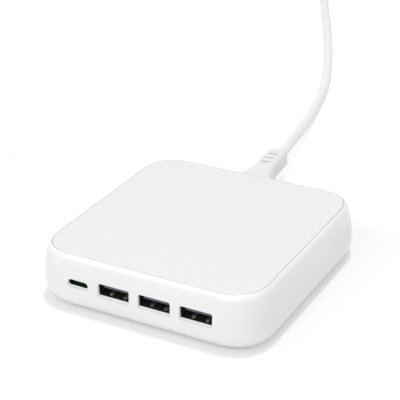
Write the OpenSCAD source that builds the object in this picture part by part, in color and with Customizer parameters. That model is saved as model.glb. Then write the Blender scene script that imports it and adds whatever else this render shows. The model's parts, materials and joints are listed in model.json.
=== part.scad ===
// Desktop mains charger with three USB-A sockets, one USB-C socket and a plug-in lead.
// The origin is on the floor under the middle of the housing, the sockets face -Y, and +Z is up.

/* [Housing] */
// Width of the housing along the row of sockets
body_w = 96; // [92:1:120]
// Depth of the housing from the sockets to the mains inlet
body_d = 96; // [92:1:120]
// Height of the housing without its feet
body_h = 22.2; // [21.5:0.1:26]
// Radius of the upright corners
corner_r = 18; // [14:0.5:20]
// Squareness of the upright corners, where 2 is a circle
corner_n = 2.5; // [2:0.1:3]
// Height of the widest line of the side wall
belly_z = 7.7; // [6.5:0.1:9]
// How far the side wall leans in above its widest line
lean_in = 2.2; // [1.5:0.1:2.6]
// How far the side wall leans in below its widest line
tuck_in = 1; // [0.5:0.1:1.5]
// Radius of the bottom edge
base_r = 5.8; // [5:0.1:6.4]
// Radius of the rim between the wall and the lid
rim_r = 2.9; // [2.2:0.1:3.4]
// Angle at which the rim meets the lid
seam_angle = 65; // [60:1:70]
// Thickness of the side wall
wall_t = 1.8; // [1.6:0.1:2.2]
// Thickness of the floor of the housing
floor_t = 2; // [1.8:0.1:2.4]

/* [Lid] */
// Thickness of the lid
lid_t = 2; // [1.6:0.1:2.4]
// Radius of the lid's edge
lid_edge_r = 1.4; // [1:0.1:1.8]
// Width of the ledge under the lid
ledge_w = 2; // [1.5:0.1:2.6]
// Depth of the rib that centres the lid in the housing
lid_rib_h = 1.8; // [1.2:0.1:2.4]
// Width of the line between the lid and the rim
seam_gap = 0.2; // [0.1:0.02:0.3]

/* [Feet] */
// Diameter of a rubber foot
foot_d = 10; // [8:0.5:12]
// Thickness of a rubber foot
foot_t = 1.6; // [1.4:0.1:2]
// How far a foot stands out of the floor of the housing
foot_h = 0.8; // [0.6:0.1:1]
// Distance from a side of the housing to the middle of a foot
foot_in = 17; // [15:0.5:22]

/* [Sockets] */
// Height of the sockets' centre above the underside of the housing
port_h = 11.5; // [11.3:0.1:12.3]
// Distance between neighbouring USB-A sockets
port_pitch = 17.2; // [16:0.1:19]
// Place of the first USB-A socket across the front
port_x0 = -10.6; // [-12:0.1:-9]
// Place of the USB-C socket across the front
usb_c_x = -26.2; // [-29:0.1:-25]
// Width of a USB-A window in the front wall
window_w = 13.2; // [12.9:0.1:13.6]
// Height of a USB-A window in the front wall
window_h = 5.6; // [5.3:0.1:6]
// Outer width of a USB-A receptacle shell
usb_a_w = 13.1; // [13.1:0.1:13.3]
// Outer height of a USB-A receptacle shell
usb_a_h = 5.7; // [5.7:0.1:5.9]
// Thickness of the receptacle shells
shell_t = 0.3; // [0.2:0.05:0.35]
// Length of the receptacle shells
shell_l = 14; // [13:0.5:15]
// Width of the USB-C opening in the front wall
usb_c_window_w = 9; // [8.9:0.1:9.3]
// Height of the USB-C opening in the front wall
usb_c_window_h = 3.2; // [3.1:0.1:3.4]
// Outer width of the USB-C receptacle shell
usb_c_w = 8.94; // [8.9:0.01:9]
// Outer height of the USB-C receptacle shell
usb_c_h = 3.16; // [3.1:0.01:3.2]
// How far the USB-C shell reaches forward into its window
usb_c_reach = 1.6; // [0:0.1:1.7]

/* [Circuit board] */
// Height of the posts that carry the main board
post_h = 3; // [2.5:0.5:3.5]
// Thickness of both circuit boards
board_t = 1.6; // [1.2:0.2:1.6]
// Width of the main board
board_w = 82; // [80:1:84]
// Gap between the main board and the mains inlet
board_gap = 0.8; // [0.6:0.1:1.5]
// Gap between the upright board of the sockets and the lid
port_board_gap = 2.1; // [2:0.1:2.4]
// Width of the upright board that carries the sockets
port_board_w = 66; // [64:1:70]
// Outer diameter of the thread of a board screw
screw_d = 2.6; // [2.2:0.1:3]
// Length of a board screw under its head
screw_l = 4.4; // [4:0.1:4.6]

/* [Transformer] */
// Width of the ferrite core
core_w = 27; // [25:0.5:28]
// Depth of the ferrite core
core_d = 22; // [20:0.5:23]
// Diameter of the core's middle leg
leg_d = 9; // [8:0.5:10]
// Diameter of the bobbin's flanges
bobbin_d = 18.6; // [17:0.2:19]
// Thickness of the bobbin's flanges
bobbin_t = 0.8; // [0.6:0.1:1]
// Thickness of the ferrite above and below the winding
core_t = 2.5; // [2:0.1:3]

/* [Capacitors and chokes] */
// Length of a mains capacitor
bulk_l = 26; // [22:1:26]
// Diameter of an output capacitor
output_can_d = 8; // [6:0.5:8]
// Width of the suppression capacitor
suppression_w = 13; // [11:0.5:13]
// Thickness of the suppression capacitor
suppression_t = 6; // [5:0.5:6]
// Inner radius of the line choke's ring
line_choke_in = 4; // [3.6:0.1:4.4]
// Outer radius of the line choke's ring
line_choke_out = 7.5; // [7:0.1:7.5]
// Height of the line choke's ring
line_choke_h = 6; // [5:0.5:8]
// Inner radius of the output choke's ring
output_choke_in = 3; // [2.6:0.1:3.4]
// Outer radius of the output choke's ring
output_choke_out = 6; // [5.5:0.1:6]
// Height of the output choke's ring
output_choke_h = 5; // [4:0.5:7]
// Thickness of the wire round the chokes
choke_wire = 1; // [0.6:0.1:1]

/* [Power parts] */
// Diameter of the fuse's can
fuse_d = 8.4; // [8:0.1:8.5]
// Height of the fuse's can
fuse_h = 7.9; // [7:0.1:8.5]
// Width of the bridge rectifier
rectifier_w = 15; // [13:0.5:15]
// Thickness of the bridge rectifier
rectifier_t = 3.6; // [3:0.1:4]
// Length of the heat sink
sink_l = 22; // [18:0.5:22]
// Thickness of the heat sink
sink_t = 1.5; // [1.2:0.1:2]
// Width of the switching transistor
transistor_w = 10; // [9:0.5:10.5]
// Thickness of the switching transistor
transistor_t = 4.4; // [4:0.1:4.6]

/* [Mains inlet] */
// Place of the inlet across the rear
inlet_x = -4.5; // [-8:0.5:2]
// Height of the inlet's middle above the underside
inlet_rise = 11.9; // [11.6:0.1:12.3]
// Outer width of the inlet moulding
inlet_w = 20; // [19.5:0.5:22]
// Outer height of the inlet moulding
inlet_h = 11.4; // [11:0.2:12]
// Length of the inlet moulding
inlet_l = 18; // [17:0.5:18.5]
// Depth of the inlet's opening
inlet_depth = 14; // [13.5:0.5:14.5]
// Diameter of an inlet pin
inlet_pin_d = 2.4; // [2.3:0.1:2.5]
// Distance between the inlet pins
inlet_pitch = 8.6; // [8.4:0.1:8.8]
// How far the inlet pins stand in the opening
inlet_pin_l = 9; // [8:0.5:9]

/* [Lead connector] */
// How far the connector is turned in the inlet, as the lead pulls it
connector_turn = 5; // [0:1:5]
// Width of the connector where it meets the housing
connector_w = 17; // [15.5:0.1:17.4]
// Width of the grip at the lead
grip_w = 9.3; // [8.6:0.1:10.5]
// Height of the grip
grip_h = 8.4; // [8:0.1:8.8]
// Length of the connector from the turning point to the lead
connector_l = 45; // [42:0.5:48]
// Width of the nose inside the inlet
nose_w = 15.4; // [15:0.1:15.5]
// Height of the nose inside the inlet
nose_h = 7.8; // [7.6:0.1:7.9]
// Place of the first grip groove, from the turning point
groove_y = 30.2; // [30:0.1:31]
// Distance between the grip grooves
groove_pitch = 4.1; // [3.8:0.1:4.3]
// Length of a groove across the grip
groove_w = 4.6; // [4:0.1:5]
// Width of a groove along the grip
groove_l = 1.6; // [1.2:0.1:2]
// Depth of a groove at its steep wall
groove_depth = 0.8; // [0.5:0.1:1]

/* [Mains lead] */
// Diameter of the lead
cord_d = 5; // [4.8:0.1:5]
// Radius of the middle of the outermost turn of the coil
coil_r_out = 36; // [35.5:0.5:36.5]
// Radius of the middle of the innermost turn of the coil
coil_r_in = 20; // [19:0.5:21]
// Thickness of the tie round the coil
tie_t = 0.8; // [0.6:0.1:1]
// Width of the tie round the coil
tie_w = 9; // [7:0.5:12]

/* [Mains plug] */
// Width of the plug
plug_w = 35.3; // [34:0.1:36]
// Thickness of the plug
plug_h = 13.7; // [13.4:0.1:14]
// Length of the plug's moulding
plug_l = 36; // [34:1:40]
// Length of the plug's strain relief
relief_l = 20; // [20:1:26]
// Diameter of a mains pin
pin_d = 4; // [4:0.05:4.1]
// Length of a mains pin
pin_l = 19; // [18:0.5:19]
// Length of the insulated part of a mains pin
sleeve_l = 10; // [9:0.5:10.5]
// Thickness of the insulation on a mains pin
sleeve_t = 0.5; // [0.4:0.1:0.6]
// Diameter of the insulated part of a mains pin
sleeve_d = 3.6; // [3.5:0.1:3.6]
// Distance between the mains pins
pin_pitch = 18.6; // [17.6:0.1:19]
// Diameter of the strain relief where it joins the plug
grip_d = 9; // [8.5:0.1:10]

/* [Hidden] */
port_count = 3;
corner_steps = 11;
round_fn = 48;
seat_gap = 0.05;
fit_gap = 0.15;
tie_gap = 0.02;
flat_inset = 0.01;

// Heights from the floor
base_z = foot_h;
top_z = base_z + body_h;
lid_z = top_z - lid_t;
seam_z = top_z - lid_edge_r * (1 - sin(seam_angle));
port_z = base_z + port_h;
inlet_z = base_z + inlet_rise;
board_z = base_z + floor_t + post_h;
deck_z = board_z + board_t;

// The side wall leans in as a parabola on each side of its widest line
lean_k = lean_in / pow(body_h - belly_z, 2);
tuck_k = tuck_in / pow(belly_z, 2);
base_tilt = atan(2 * tuck_k * (belly_z - base_r));
rim_tilt = atan(2 * lean_k * (seam_z - base_z - belly_z - rim_r * (sin(seam_angle) - sin(15))));
rim_z = seam_z - base_z - rim_r * (sin(seam_angle) - sin(rim_tilt));
seam_in = lean_k * pow(rim_z - belly_z, 2) + rim_r * (cos(rim_tilt) - cos(seam_angle));

// Places that the inner pieces share
cavity_in = wall_t + wall_in(port_h);
ledge_in = seam_in + seam_gap + ledge_w;
front_y = -body_d / 2 + cavity_in + seat_gap;
rear_y = body_d / 2 - cavity_in;
port_board_y = front_y + shell_l;
post_x = board_w / 2 - 5;
post_front_y = port_board_y - 1;
post_d = 6.4;
board_front = port_board_y - 4;

// Mains inlet and connector
inlet_rear_y = body_d / 2 - wall_in(inlet_rise);
inlet_back_y = inlet_rear_y - inlet_l;
inlet_floor_y = inlet_rear_y - inlet_depth;
inlet_r = 2;
flange_t = 1.5;
flange_h = 6.6;
flange_out = 2;
pivot_y = inlet_floor_y + inlet_pin_l - 2.1;
opening_w = nose_w + 2;
opening_h = nose_h + 1;
nose_waist = nose_h * 0.8;
opening_waist = nose_waist + 1.6;
nose_start = -2.5;
grip_start = inlet_rear_y - pivot_y + 1.3;
neck_end = 29;
socket_bore_d = 3.8;
socket_d = 3.7;
socket_hole_d = 3.2;
socket_l = 7;

// Pieces on the main board, as tall as the room under the lid allows
room_h = lid_z - deck_z;
board_rear = inlet_back_y - board_gap;
post_rear_y = board_rear - 12;
port_board_h = room_h - port_board_gap;
transformer_x = 3;
transformer_y = -4;
core_lift = 0.2;
core_h = room_h - 1.2;
core_window_h = core_h - 2 * core_t;
core_window_z = deck_z + core_lift + core_t;
bobbin_gap = 0.1;
bobbin_core_r = leg_d / 2 + 1;
bulk_d = room_h - 1.1;
bulk_pitch = bulk_d + 0.5;
bulk_x = -27;
bulk_y = -18;
output_can_h = room_h - 1.6;
output_can_x = 33;
output_can_y = -20;
output_can_pitch = 10;
line_choke = [21.5, board_rear - 9.5];
output_choke = [34, 5];
winding_span = 140;
suppression_x = -24;
suppression_y = board_rear - 8.5;
suppression_h = room_h - 2.6;
fuse_x = -10.5;
fuse_y = board_rear - 11.5;
fuse_rim = 0.5;
rectifier_x = 4;
rectifier_y = board_rear - 12;
rectifier_h = room_h - 3.1;
sink_x = transformer_x + core_w / 2 + 4;
sink_y = -18;
sink_h = room_h - 1.6;
fin_pitch = 4.9;
fin_w = 1.6;
fin_h = 4;
transistor_y = -9;
transistor_h = room_h - 2.6;
transistor_tab = 1.3;
transistor_body_h = 7.5;

// Mains lead, coil and plug
coil_x = -86;
coil_y = 393;
coil_half_w = (coil_r_out - coil_r_in) / 2 + cord_d / 2;
coil_r_mid = (coil_r_out + coil_r_in) / 2;
coil_h = 2 * cord_d;
tail_y = coil_y + coil_r_out;
tail_start_x = coil_x + 19.5;
tail_l = 12.5;
plug_x = tail_start_x + tail_l + seat_gap;
plug_z = plug_h / 2;
plug_face_x = plug_x + relief_l + plug_l;
shank_d = pin_d - 1;
shank_l = 5;
sleeve_in = sleeve_d - 2 * sleeve_t;
cord_sides = 10;
cord_from = connector_l + 2 * seat_gap;
cord_start = [inlet_x - cord_from * sin(connector_turn), pivot_y + cord_from * cos(connector_turn), inlet_z];
cord_route = [
    cord_start,
    [-9.4, 96, 12.5],
    [-11.6, 104, 11.6],
    [-14, 115.5, 9.6],
    [-17.2, 127.5, 7.4],
    [-20, 139, 5.4],
    [-22.7, 149.5, 4],
    [-25.2, 159.5, 3.1],
    [-28, 171, 2.6],
    [-31.3, 184, 2.5],
    [-35.5, 198, 2.5],
    [-40, 210.5, 2.5],
    [-45, 223, 2.5],
    [-50.5, 236, 2.5],
    [-56, 249, 2.5],
    [-62, 262, 2.5],
    [-68, 275, 2.5],
    [-74, 288, 2.5],
    [-80.5, 301, 2.5],
    [-87, 314, 2.5],
    [-93, 327, 2.5],
    [-99, 338.5, 2.6],
    [-104.5, 349, 2.9],
    [-109.8, 359.8, 3.3]
];
tail_route = [
    [tail_start_x, tail_y, plug_z + 1.4],
    [tail_start_x + 3, tail_y, plug_z + 1.3],
    [tail_start_x + 6.5, tail_y, plug_z + 0.6],
    [tail_start_x + 9.5, tail_y, plug_z],
    [tail_start_x + tail_l, tail_y, plug_z]
];

// Inset of the side wall at a height above the underside
function wall_in(z) = z > belly_z ? lean_k * pow(z - belly_z, 2) : tuck_k * pow(belly_z - z, 2);

// Place of a USB-A socket across the front
function port_x(i) = port_x0 + (i - 1) * port_pitch;

// One closed line round the housing, set in from its widest line
function ring(inset) =
    let (r = corner_r - inset, a = body_w / 2 - corner_r, b = body_d / 2 - corner_r, e = 2 / corner_n)
    [for (side = [0 : 3], i = [0 : corner_steps])
        let (t = 90 * i / corner_steps, c = r * pow(cos(t), e), s = r * pow(sin(t), e))
        side == 0 ? [a + c, b + s] : side == 1 ? [-a - s, b + c] : side == 2 ? [-a - c, -b - s] : [a + s, -b - c]];

// Bottom edge, wall and rim of the housing as pairs of inset and height
function base_edge() =
    let (z = base_r * (1 - sin(base_tilt)), middle = wall_in(z) + base_r * cos(base_tilt))
    [for (i = [0 : 5]) let (a = 90 + (base_tilt - 90) * i / 5) [middle - base_r * cos(a), base_r * (1 - sin(a))]];
function wall_line() = [for (z = [belly_z - 0.9, belly_z, belly_z + 2.2, belly_z + 4.4, belly_z + 6.6]) [wall_in(z), z]];
function rim_edge() =
    let (middle = seam_in + rim_r * cos(seam_angle), centre = seam_z - base_z - rim_r * sin(seam_angle))
    [for (i = [0 : 5]) let (a = rim_tilt + (seam_angle - rim_tilt) * i / 5)
        [middle - rim_r * cos(a), centre + rim_r * sin(a)]];
function lid_edge(inset) =
    let (middle = inset + lid_edge_r * cos(seam_angle), centre = body_h - lid_edge_r)
    [for (i = [0 : 3]) let (a = seam_angle + (90 - seam_angle) * i / 3)
        [middle - lid_edge_r * cos(a), centre + lid_edge_r * sin(a)]];

// Solid skinned over rings at pairs of inset and height above the underside
module loft(levels) {
    count = 4 * (corner_steps + 1);
    points = [for (l = levels) for (p = ring(l[0])) [p[0], p[1], base_z + l[1]]];
    sides = [for (i = [0 : len(levels) - 2], j = [0 : count - 1])
        let (n = (j + 1) % count, low = i * count, high = low + count)
        each [[low + j, high + j, high + n], [low + j, high + n, low + n]]];
    bottom = [[for (j = [0 : count - 1]) j]];
    top = [[for (j = [count - 1 : -1 : 0]) (len(levels) - 1) * count + j]];
    polyhedron(points, concat(bottom, sides, top));
}

// Block with four rounded long edges, centred on the y axis and running along +y
module rounded_bar(w, h, r, l) {
    rotate([90, 0, 0])
        mirror([0, 0, 1])
            linear_extrude(l)
                rounded_rectangle(w, h, r);
}

module rounded_rectangle(w, h, r) {
    square([w - 2 * r, h], center = true);
    square([w, h - 2 * r], center = true);
    for (x = [-1, 1], y = [-1, 1])
        translate([x * (w / 2 - r), y * (h / 2 - r)])
            circle(r, $fn = round_fn);
}

// Figure of eight, as wide as the inlet's opening or the connector's nose
module figure_eight(w, h, waist, l) {
    rotate([90, 0, 0])
        mirror([0, 0, 1])
            linear_extrude(l) {
                for (x = [-1, 1])
                    translate([x * (w - h) / 2, 0])
                        circle(d = h, $fn = round_fn);
                square([w - h, waist], center = true);
            }
}

module housing() {
    cavity_r = base_r - wall_t;
    cavity_edge = [for (i = [0 : 4]) let (a = 90 - 90 * i / 4)
        [cavity_in + cavity_r * (1 - cos(a)), floor_t + cavity_r * (1 - sin(a))]];
    rise = ledge_in - cavity_in;
    ledge_under = lid_z - base_z - 1.2;
    color([0.94, 0.94, 0.94])
        union() {
            difference() {
                loft(concat(base_edge(), wall_line(), rim_edge()));
                loft([[seam_in, lid_z - base_z], [seam_in, body_h + 1]]);
                loft(concat(cavity_edge,
                    [[cavity_in, ledge_under - rise], [ledge_in, ledge_under], [ledge_in, lid_z - base_z + 1]]));
                for (i = [1 : port_count])
                    translate([port_x(i), -body_d / 2 - 1, port_z])
                        rounded_bar(window_w, window_h, 0.7, cavity_in + 2);
                translate([usb_c_x, -body_d / 2 - 1, port_z])
                    rounded_bar(usb_c_window_w, usb_c_window_h, usb_c_window_h / 2 - flat_inset, cavity_in + 2);
                translate([inlet_x, rear_y - rise - 1, inlet_z])
                    rounded_bar(inlet_w + 2 * fit_gap, inlet_h + 2 * fit_gap, inlet_r + fit_gap, cavity_in + rise + 2);
                for (x = [-1, 1], y = [-1, 1])
                    translate([x * (body_w / 2 - foot_in), y * (body_d / 2 - foot_in), base_z - 1])
                        cylinder(h = 1 + foot_t - foot_h, d = foot_d + 0.2, $fn = round_fn);
            }
            for (x = [-1, 1], y = [post_front_y, post_rear_y])
                translate([x * post_x, y, base_z + floor_t - 0.5])
                    difference() {
                        cylinder(h = post_h + 0.5, d = post_d, $fn = round_fn);
                        translate([0, 0, 0.6])
                            cylinder(h = post_h + 1, d = screw_d, $fn = round_fn);
                    }
        }
}

module lid() {
    edge_in = seam_in + seam_gap;
    rib_in = ledge_in + 0.2;
    rib_t = 1.2;
    color([0.93, 0.93, 0.93])
        union() {
            loft(concat([[edge_in, lid_z - base_z]], lid_edge(edge_in)));
            difference() {
                loft([[rib_in, lid_z - base_z - lid_rib_h], [rib_in, lid_z - base_z + 0.5]]);
                loft([[rib_in + rib_t, lid_z - base_z - lid_rib_h - 1], [rib_in + rib_t, lid_z - base_z + 0.2]]);
            }
        }
}

module foot(x, y) {
    color([0.75, 0.75, 0.76])
        translate([x * (body_w / 2 - foot_in), y * (body_d / 2 - foot_in), 0])
            rotate_extrude($fn = round_fn)
                polygon([[0, 0], [foot_d / 2 - 0.4, 0], [foot_d / 2, 0.4], [foot_d / 2, foot_t], [0, foot_t]]);
}

module main_board() {
    notch = 1;
    color([0.1, 0.35, 0.2])
        difference() {
            translate([-board_w / 2, board_front, board_z])
                cube([board_w, board_rear - board_front, board_t]);
            for (x = [-1, 1], y = [post_front_y, post_rear_y])
                translate([x * post_x, y, board_z - 1])
                    cylinder(h = board_t + 2, d = screw_d + 0.4, $fn = round_fn);
            for (x = [-1, 1])
                translate([x * board_w / 2 - 2, board_rear - notch, board_z - 1])
                    cube([4, notch + 1, board_t + 2]);
        }
}

module port_board() {
    color([0.1, 0.35, 0.2])
        translate([-port_board_w / 2, port_board_y, deck_z])
            cube([port_board_w, board_t, port_board_h]);
}

module board_screws() {
    head_d = 5;
    head_h = 1.8;
    color([0.7, 0.7, 0.72])
        for (x = [-1, 1], y = [post_front_y, post_rear_y])
            translate([x * post_x, y, deck_z])
                difference() {
                    union() {
                        cylinder(h = head_h, d = head_d, $fn = round_fn);
                        translate([0, 0, -screw_l + 0.6])
                            cylinder(h = screw_l - 0.6, d = screw_d - 0.1, $fn = round_fn);
                        translate([0, 0, -screw_l])
                            cylinder(h = 0.6, d1 = 1.2, d2 = screw_d - 0.1, $fn = round_fn);
                    }
                    for (turn = [0, 90])
                        translate([0, 0, head_h])
                            rotate([0, 0, turn])
                                cube([3, 0.7, 1.8], center = true);
                }
}

// Spring finger pressed out of the shell: it rises from its root to a crest and bends back at its tip
module shell_spring(x, floor_side) {
    spring_w = 2;
    root_y = 9.5;
    crest_y = 4;
    tip_y = 2.7;
    rise = 0.6;
    under = [[root_y, 0], [crest_y, -rise], [tip_y, 0]];
    over = [for (k = [2 : -1 : 0]) under[k] + [0, shell_t]];
    inner = usb_a_h / 2 - shell_t;
    mirror([0, 0, floor_side])
        translate([x - spring_w / 2, 0, inner])
            rotate([90, 0, 90])
                linear_extrude(spring_w)
                    polygon(concat(under, over));
}

module usb_a_shell(i) {
    spring_x = 3;
    color([0.78, 0.77, 0.74])
        translate([port_x(i), front_y, port_z]) {
            difference() {
                rounded_bar(usb_a_w, usb_a_h, 0.6, shell_l);
                translate([0, -1, 0])
                    rounded_bar(usb_a_w - 2 * shell_t, usb_a_h - 2 * shell_t, 0.3, shell_l + 2);
                for (x = [-spring_x, spring_x], side = [-1, 1])
                    translate([x, 5.75, side * usb_a_h / 2])
                        cube([2.8, 6.5, 2], center = true);
            }
            for (x = [-spring_x, spring_x], side = [0, 1])
                shell_spring(x, side);
        }
}

module usb_a_tongue(i) {
    inner_w = usb_a_w - 2 * shell_t;
    inner_h = usb_a_h - 2 * shell_t;
    tongue_w = 11.1;
    tongue_t = 1.84;
    color([0.2, 0.2, 0.23])
        translate([port_x(i), front_y, port_z]) {
            translate([0, shell_l - 4, 0])
                rounded_bar(inner_w, inner_h, 0.35, 4);
            translate([-tongue_w / 2, 1, 0])
                cube([tongue_w, shell_l - 4, tongue_t]);
        }
}

module usb_a_contacts(i) {
    contact_w = 1;
    contact_t = 0.25;
    color([0.85, 0.7, 0.35])
        for (x = [-3.5, -1, 1, 3.5])
            translate([port_x(i) + x - contact_w / 2, front_y + 2, port_z - contact_t])
                cube([contact_w, shell_l - 6, contact_t]);
}

module usb_c_shell() {
    inner_w = usb_c_w - 2 * shell_t;
    inner_h = usb_c_h - 2 * shell_t;
    color([0.78, 0.77, 0.74])
        translate([usb_c_x, front_y - usb_c_reach, port_z])
            difference() {
                rounded_bar(usb_c_w, usb_c_h, usb_c_h / 2 - flat_inset, shell_l + usb_c_reach);
                translate([0, -1, 0])
                    rounded_bar(inner_w, inner_h, inner_h / 2 - flat_inset, shell_l + usb_c_reach + 2);
            }
}

module usb_c_tongue() {
    inner_w = usb_c_w - 2 * shell_t;
    inner_h = usb_c_h - 2 * shell_t;
    block_l = shell_l - 6.2;
    color([0.12, 0.16, 0.14])
        translate([usb_c_x, front_y, port_z]) {
            translate([0, shell_l - block_l, 0])
                rounded_bar(inner_w, inner_h, inner_h / 2 - flat_inset, block_l);
            translate([-6.69 / 2, 0.7, -0.35])
                cube([6.69, shell_l - block_l, 0.7]);
        }
}

module usb_c_contacts() {
    pitch = 0.5;
    color([0.85, 0.7, 0.35])
        for (k = [-5.5 : 1 : 5.5], side = [-1, 1])
            translate([usb_c_x + k * pitch - 0.12, front_y + 1.2, port_z + (side > 0 ? 0.35 : -0.41)])
                cube([0.24, 5, 0.06]);
}

module inlet_moulding() {
    color([0.9, 0.9, 0.9])
        translate([inlet_x, 0, inlet_z])
            difference() {
                union() {
                    translate([0, inlet_back_y, 0])
                        rounded_bar(inlet_w, inlet_h, inlet_r, inlet_l);
                    translate([0, rear_y - seat_gap - flange_t, 0])
                        rounded_bar(inlet_w + 2 * flange_out, flange_h, 1, flange_t);
                }
                translate([0, inlet_floor_y, 0])
                    figure_eight(opening_w, opening_h, opening_waist, inlet_depth + 1);
                for (x = [-1, 1])
                    translate([x * inlet_pitch / 2, inlet_back_y - 1, 0])
                        rotate([-90, 0, 0])
                            cylinder(h = inlet_l, d = inlet_pin_d, $fn = round_fn);
            }
}

module inlet_pins() {
    bend_y = inlet_back_y - 2.4;
    color([0.8, 0.8, 0.82])
        for (x = [-1, 1])
            translate([inlet_x + x * inlet_pitch / 2, 0, inlet_z]) {
                translate([0, bend_y, 0])
                    rotate([-90, 0, 0])
                        cylinder(h = inlet_floor_y + inlet_pin_l - 1 - bend_y, d = inlet_pin_d, $fn = round_fn);
                translate([0, inlet_floor_y + inlet_pin_l - 1, 0])
                    rotate([-90, 0, 0])
                        cylinder(h = 1, d1 = inlet_pin_d, d2 = 1.4, $fn = round_fn);
                translate([0, bend_y, 0])
                    sphere(d = inlet_pin_d, $fn = round_fn);
                translate([0, bend_y, deck_z - inlet_z])
                    cylinder(h = inlet_z - deck_z, d = inlet_pin_d, $fn = round_fn);
            }
}

// Two ferrite halves with a round middle leg, which meet in one block
module transformer_core() {
    side_w = bobbin_d - 4;
    color([0.25, 0.25, 0.27])
        translate([transformer_x, transformer_y, deck_z + core_lift])
            union() {
                difference() {
                    translate([-core_w / 2, -core_d / 2, 0])
                        cube([core_w, core_d, core_h]);
                    translate([0, 0, core_t])
                        cylinder(h = core_window_h, d = bobbin_d + 1.4, $fn = round_fn);
                    translate([-side_w / 2, -core_d / 2 - 1, core_t])
                        cube([side_w, core_d + 2, core_window_h]);
                }
                cylinder(h = core_h, d = leg_d, $fn = round_fn);
            }
}

module transformer_bobbin() {
    inner = leg_d / 2 + bobbin_gap;
    top = core_window_h - bobbin_gap;
    color([0.15, 0.15, 0.15])
        translate([transformer_x, transformer_y, core_window_z])
            rotate_extrude($fn = round_fn)
                polygon([
                    [inner, bobbin_gap], [bobbin_d / 2, bobbin_gap], [bobbin_d / 2, bobbin_t],
                    [bobbin_core_r, bobbin_t], [bobbin_core_r, core_window_h - bobbin_t],
                    [bobbin_d / 2, core_window_h - bobbin_t], [bobbin_d / 2, top], [inner, top]
                ]);
}

module transformer_winding() {
    color([0.85, 0.75, 0.25])
        translate([transformer_x, transformer_y, core_window_z + bobbin_t])
            difference() {
                cylinder(h = core_window_h - 2 * bobbin_t, r = bobbin_d / 2 - 0.3, $fn = round_fn);
                translate([0, 0, -1])
                    cylinder(h = core_window_h, r = bobbin_core_r, $fn = round_fn);
            }
}

// Electrolytic can with a crimp groove and a stepped seal, lying or standing
module capacitor_can(d, l) {
    r = d / 2;
    rotate_extrude($fn = round_fn)
        polygon([
            [0, 0], [r - 1.2, 0], [r - 1.2, 0.5], [r - 0.4, 0.5], [r, 1], [r, 2.2], [r - 0.5, 2.7],
            [r, 3.2], [r, l - 0.5], [r - 0.5, l], [0, l]
        ]);
}

module bulk_capacitor(k) {
    color([0.15, 0.16, 0.2])
        translate([bulk_x + k * bulk_pitch / 2, bulk_y, deck_z + bulk_d / 2])
            rotate([-90, 0, 0])
                capacitor_can(bulk_d, bulk_l);
}

module output_capacitor(k) {
    color([0.2, 0.3, 0.55])
        translate([output_can_x, output_can_y + k * output_can_pitch, deck_z])
            capacitor_can(output_can_d, output_can_h);
}

// Ring of ferrite lying flat on its wire
module choke_core(place, r_in, r_out, h) {
    translate([place[0], place[1], deck_z + choke_wire])
        difference() {
            cylinder(h = h, r = r_out, $fn = round_fn);
            translate([0, 0, -1])
                cylinder(h = h + 2, r = r_in, $fn = round_fn);
        }
}

// The two windings that wrap a ring, one on each side
module choke_winding(place, r_in, r_out, h) {
    for (turn = [-winding_span / 2, 180 - winding_span / 2])
        translate([place[0], place[1], deck_z + choke_wire])
            rotate([0, 0, turn])
                rotate_extrude(angle = winding_span, $fn = round_fn)
                    difference() {
                        translate([r_in - choke_wire, -choke_wire])
                            square([r_out - r_in + 2 * choke_wire, h + 2 * choke_wire]);
                        translate([r_in, 0])
                            square([r_out - r_in, h]);
                    }
}

module line_choke_core() {
    color([0.2, 0.35, 0.25])
        choke_core(line_choke, line_choke_in, line_choke_out, line_choke_h);
}

module line_choke_winding() {
    color([0.72, 0.4, 0.2])
        choke_winding(line_choke, line_choke_in, line_choke_out, line_choke_h);
}

module output_choke_core() {
    color([0.85, 0.8, 0.3])
        choke_core(output_choke, output_choke_in, output_choke_out, output_choke_h);
}

module output_choke_winding() {
    color([0.72, 0.4, 0.2])
        choke_winding(output_choke, output_choke_in, output_choke_out, output_choke_h);
}

module suppression_capacitor() {
    color([0.85, 0.7, 0.2])
        translate([suppression_x, suppression_y, deck_z])
            linear_extrude(suppression_h)
                rounded_rectangle(suppression_w, suppression_t, 0.6);
}

module fuse() {
    color([0.15, 0.15, 0.17])
        translate([fuse_x, fuse_y, deck_z]) {
            cylinder(h = fuse_h - fuse_rim, d = fuse_d, $fn = round_fn);
            translate([0, 0, fuse_h - fuse_rim])
                cylinder(h = fuse_rim, d1 = fuse_d, d2 = fuse_d - 2 * fuse_rim, $fn = round_fn);
        }
}

module bridge_rectifier() {
    hole_z = rectifier_h - 3;
    color([0.12, 0.12, 0.12])
        translate([rectifier_x, rectifier_y, deck_z])
            difference() {
                translate([-rectifier_w / 2, 0, 0])
                    cube([rectifier_w, rectifier_t, rectifier_h]);
                translate([0, -1, hole_z])
                    rotate([-90, 0, 0])
                        cylinder(h = rectifier_t + 2, d = 3.2, $fn = round_fn);
            }
}

// Upright aluminium plate with fins along its top edge
module heat_sink() {
    color([0.8, 0.8, 0.82])
        translate([sink_x, sink_y, deck_z]) {
            cube([sink_t, sink_l, sink_h]);
            for (y = [0 : fin_pitch : sink_l - sink_t])
                translate([-fin_w, y, sink_h - fin_h])
                    cube([fin_w + sink_t / 2, sink_t, fin_h]);
        }
}

// Moulded body with the thin tab of its upper end against the heat sink
module switching_transistor() {
    color([0.12, 0.12, 0.12])
        translate([sink_x + sink_t, transistor_y, deck_z])
            difference() {
                cube([transistor_t, transistor_w, transistor_h]);
                translate([transistor_tab, -1, transistor_body_h])
                    cube([transistor_t, transistor_w + 2, transistor_h]);
            }
}

// The connector's own frame starts at its turning point, with +y towards the lead
module connector_place() {
    translate([inlet_x, pivot_y, inlet_z])
        rotate([0, 0, connector_turn])
            children();
}

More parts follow.
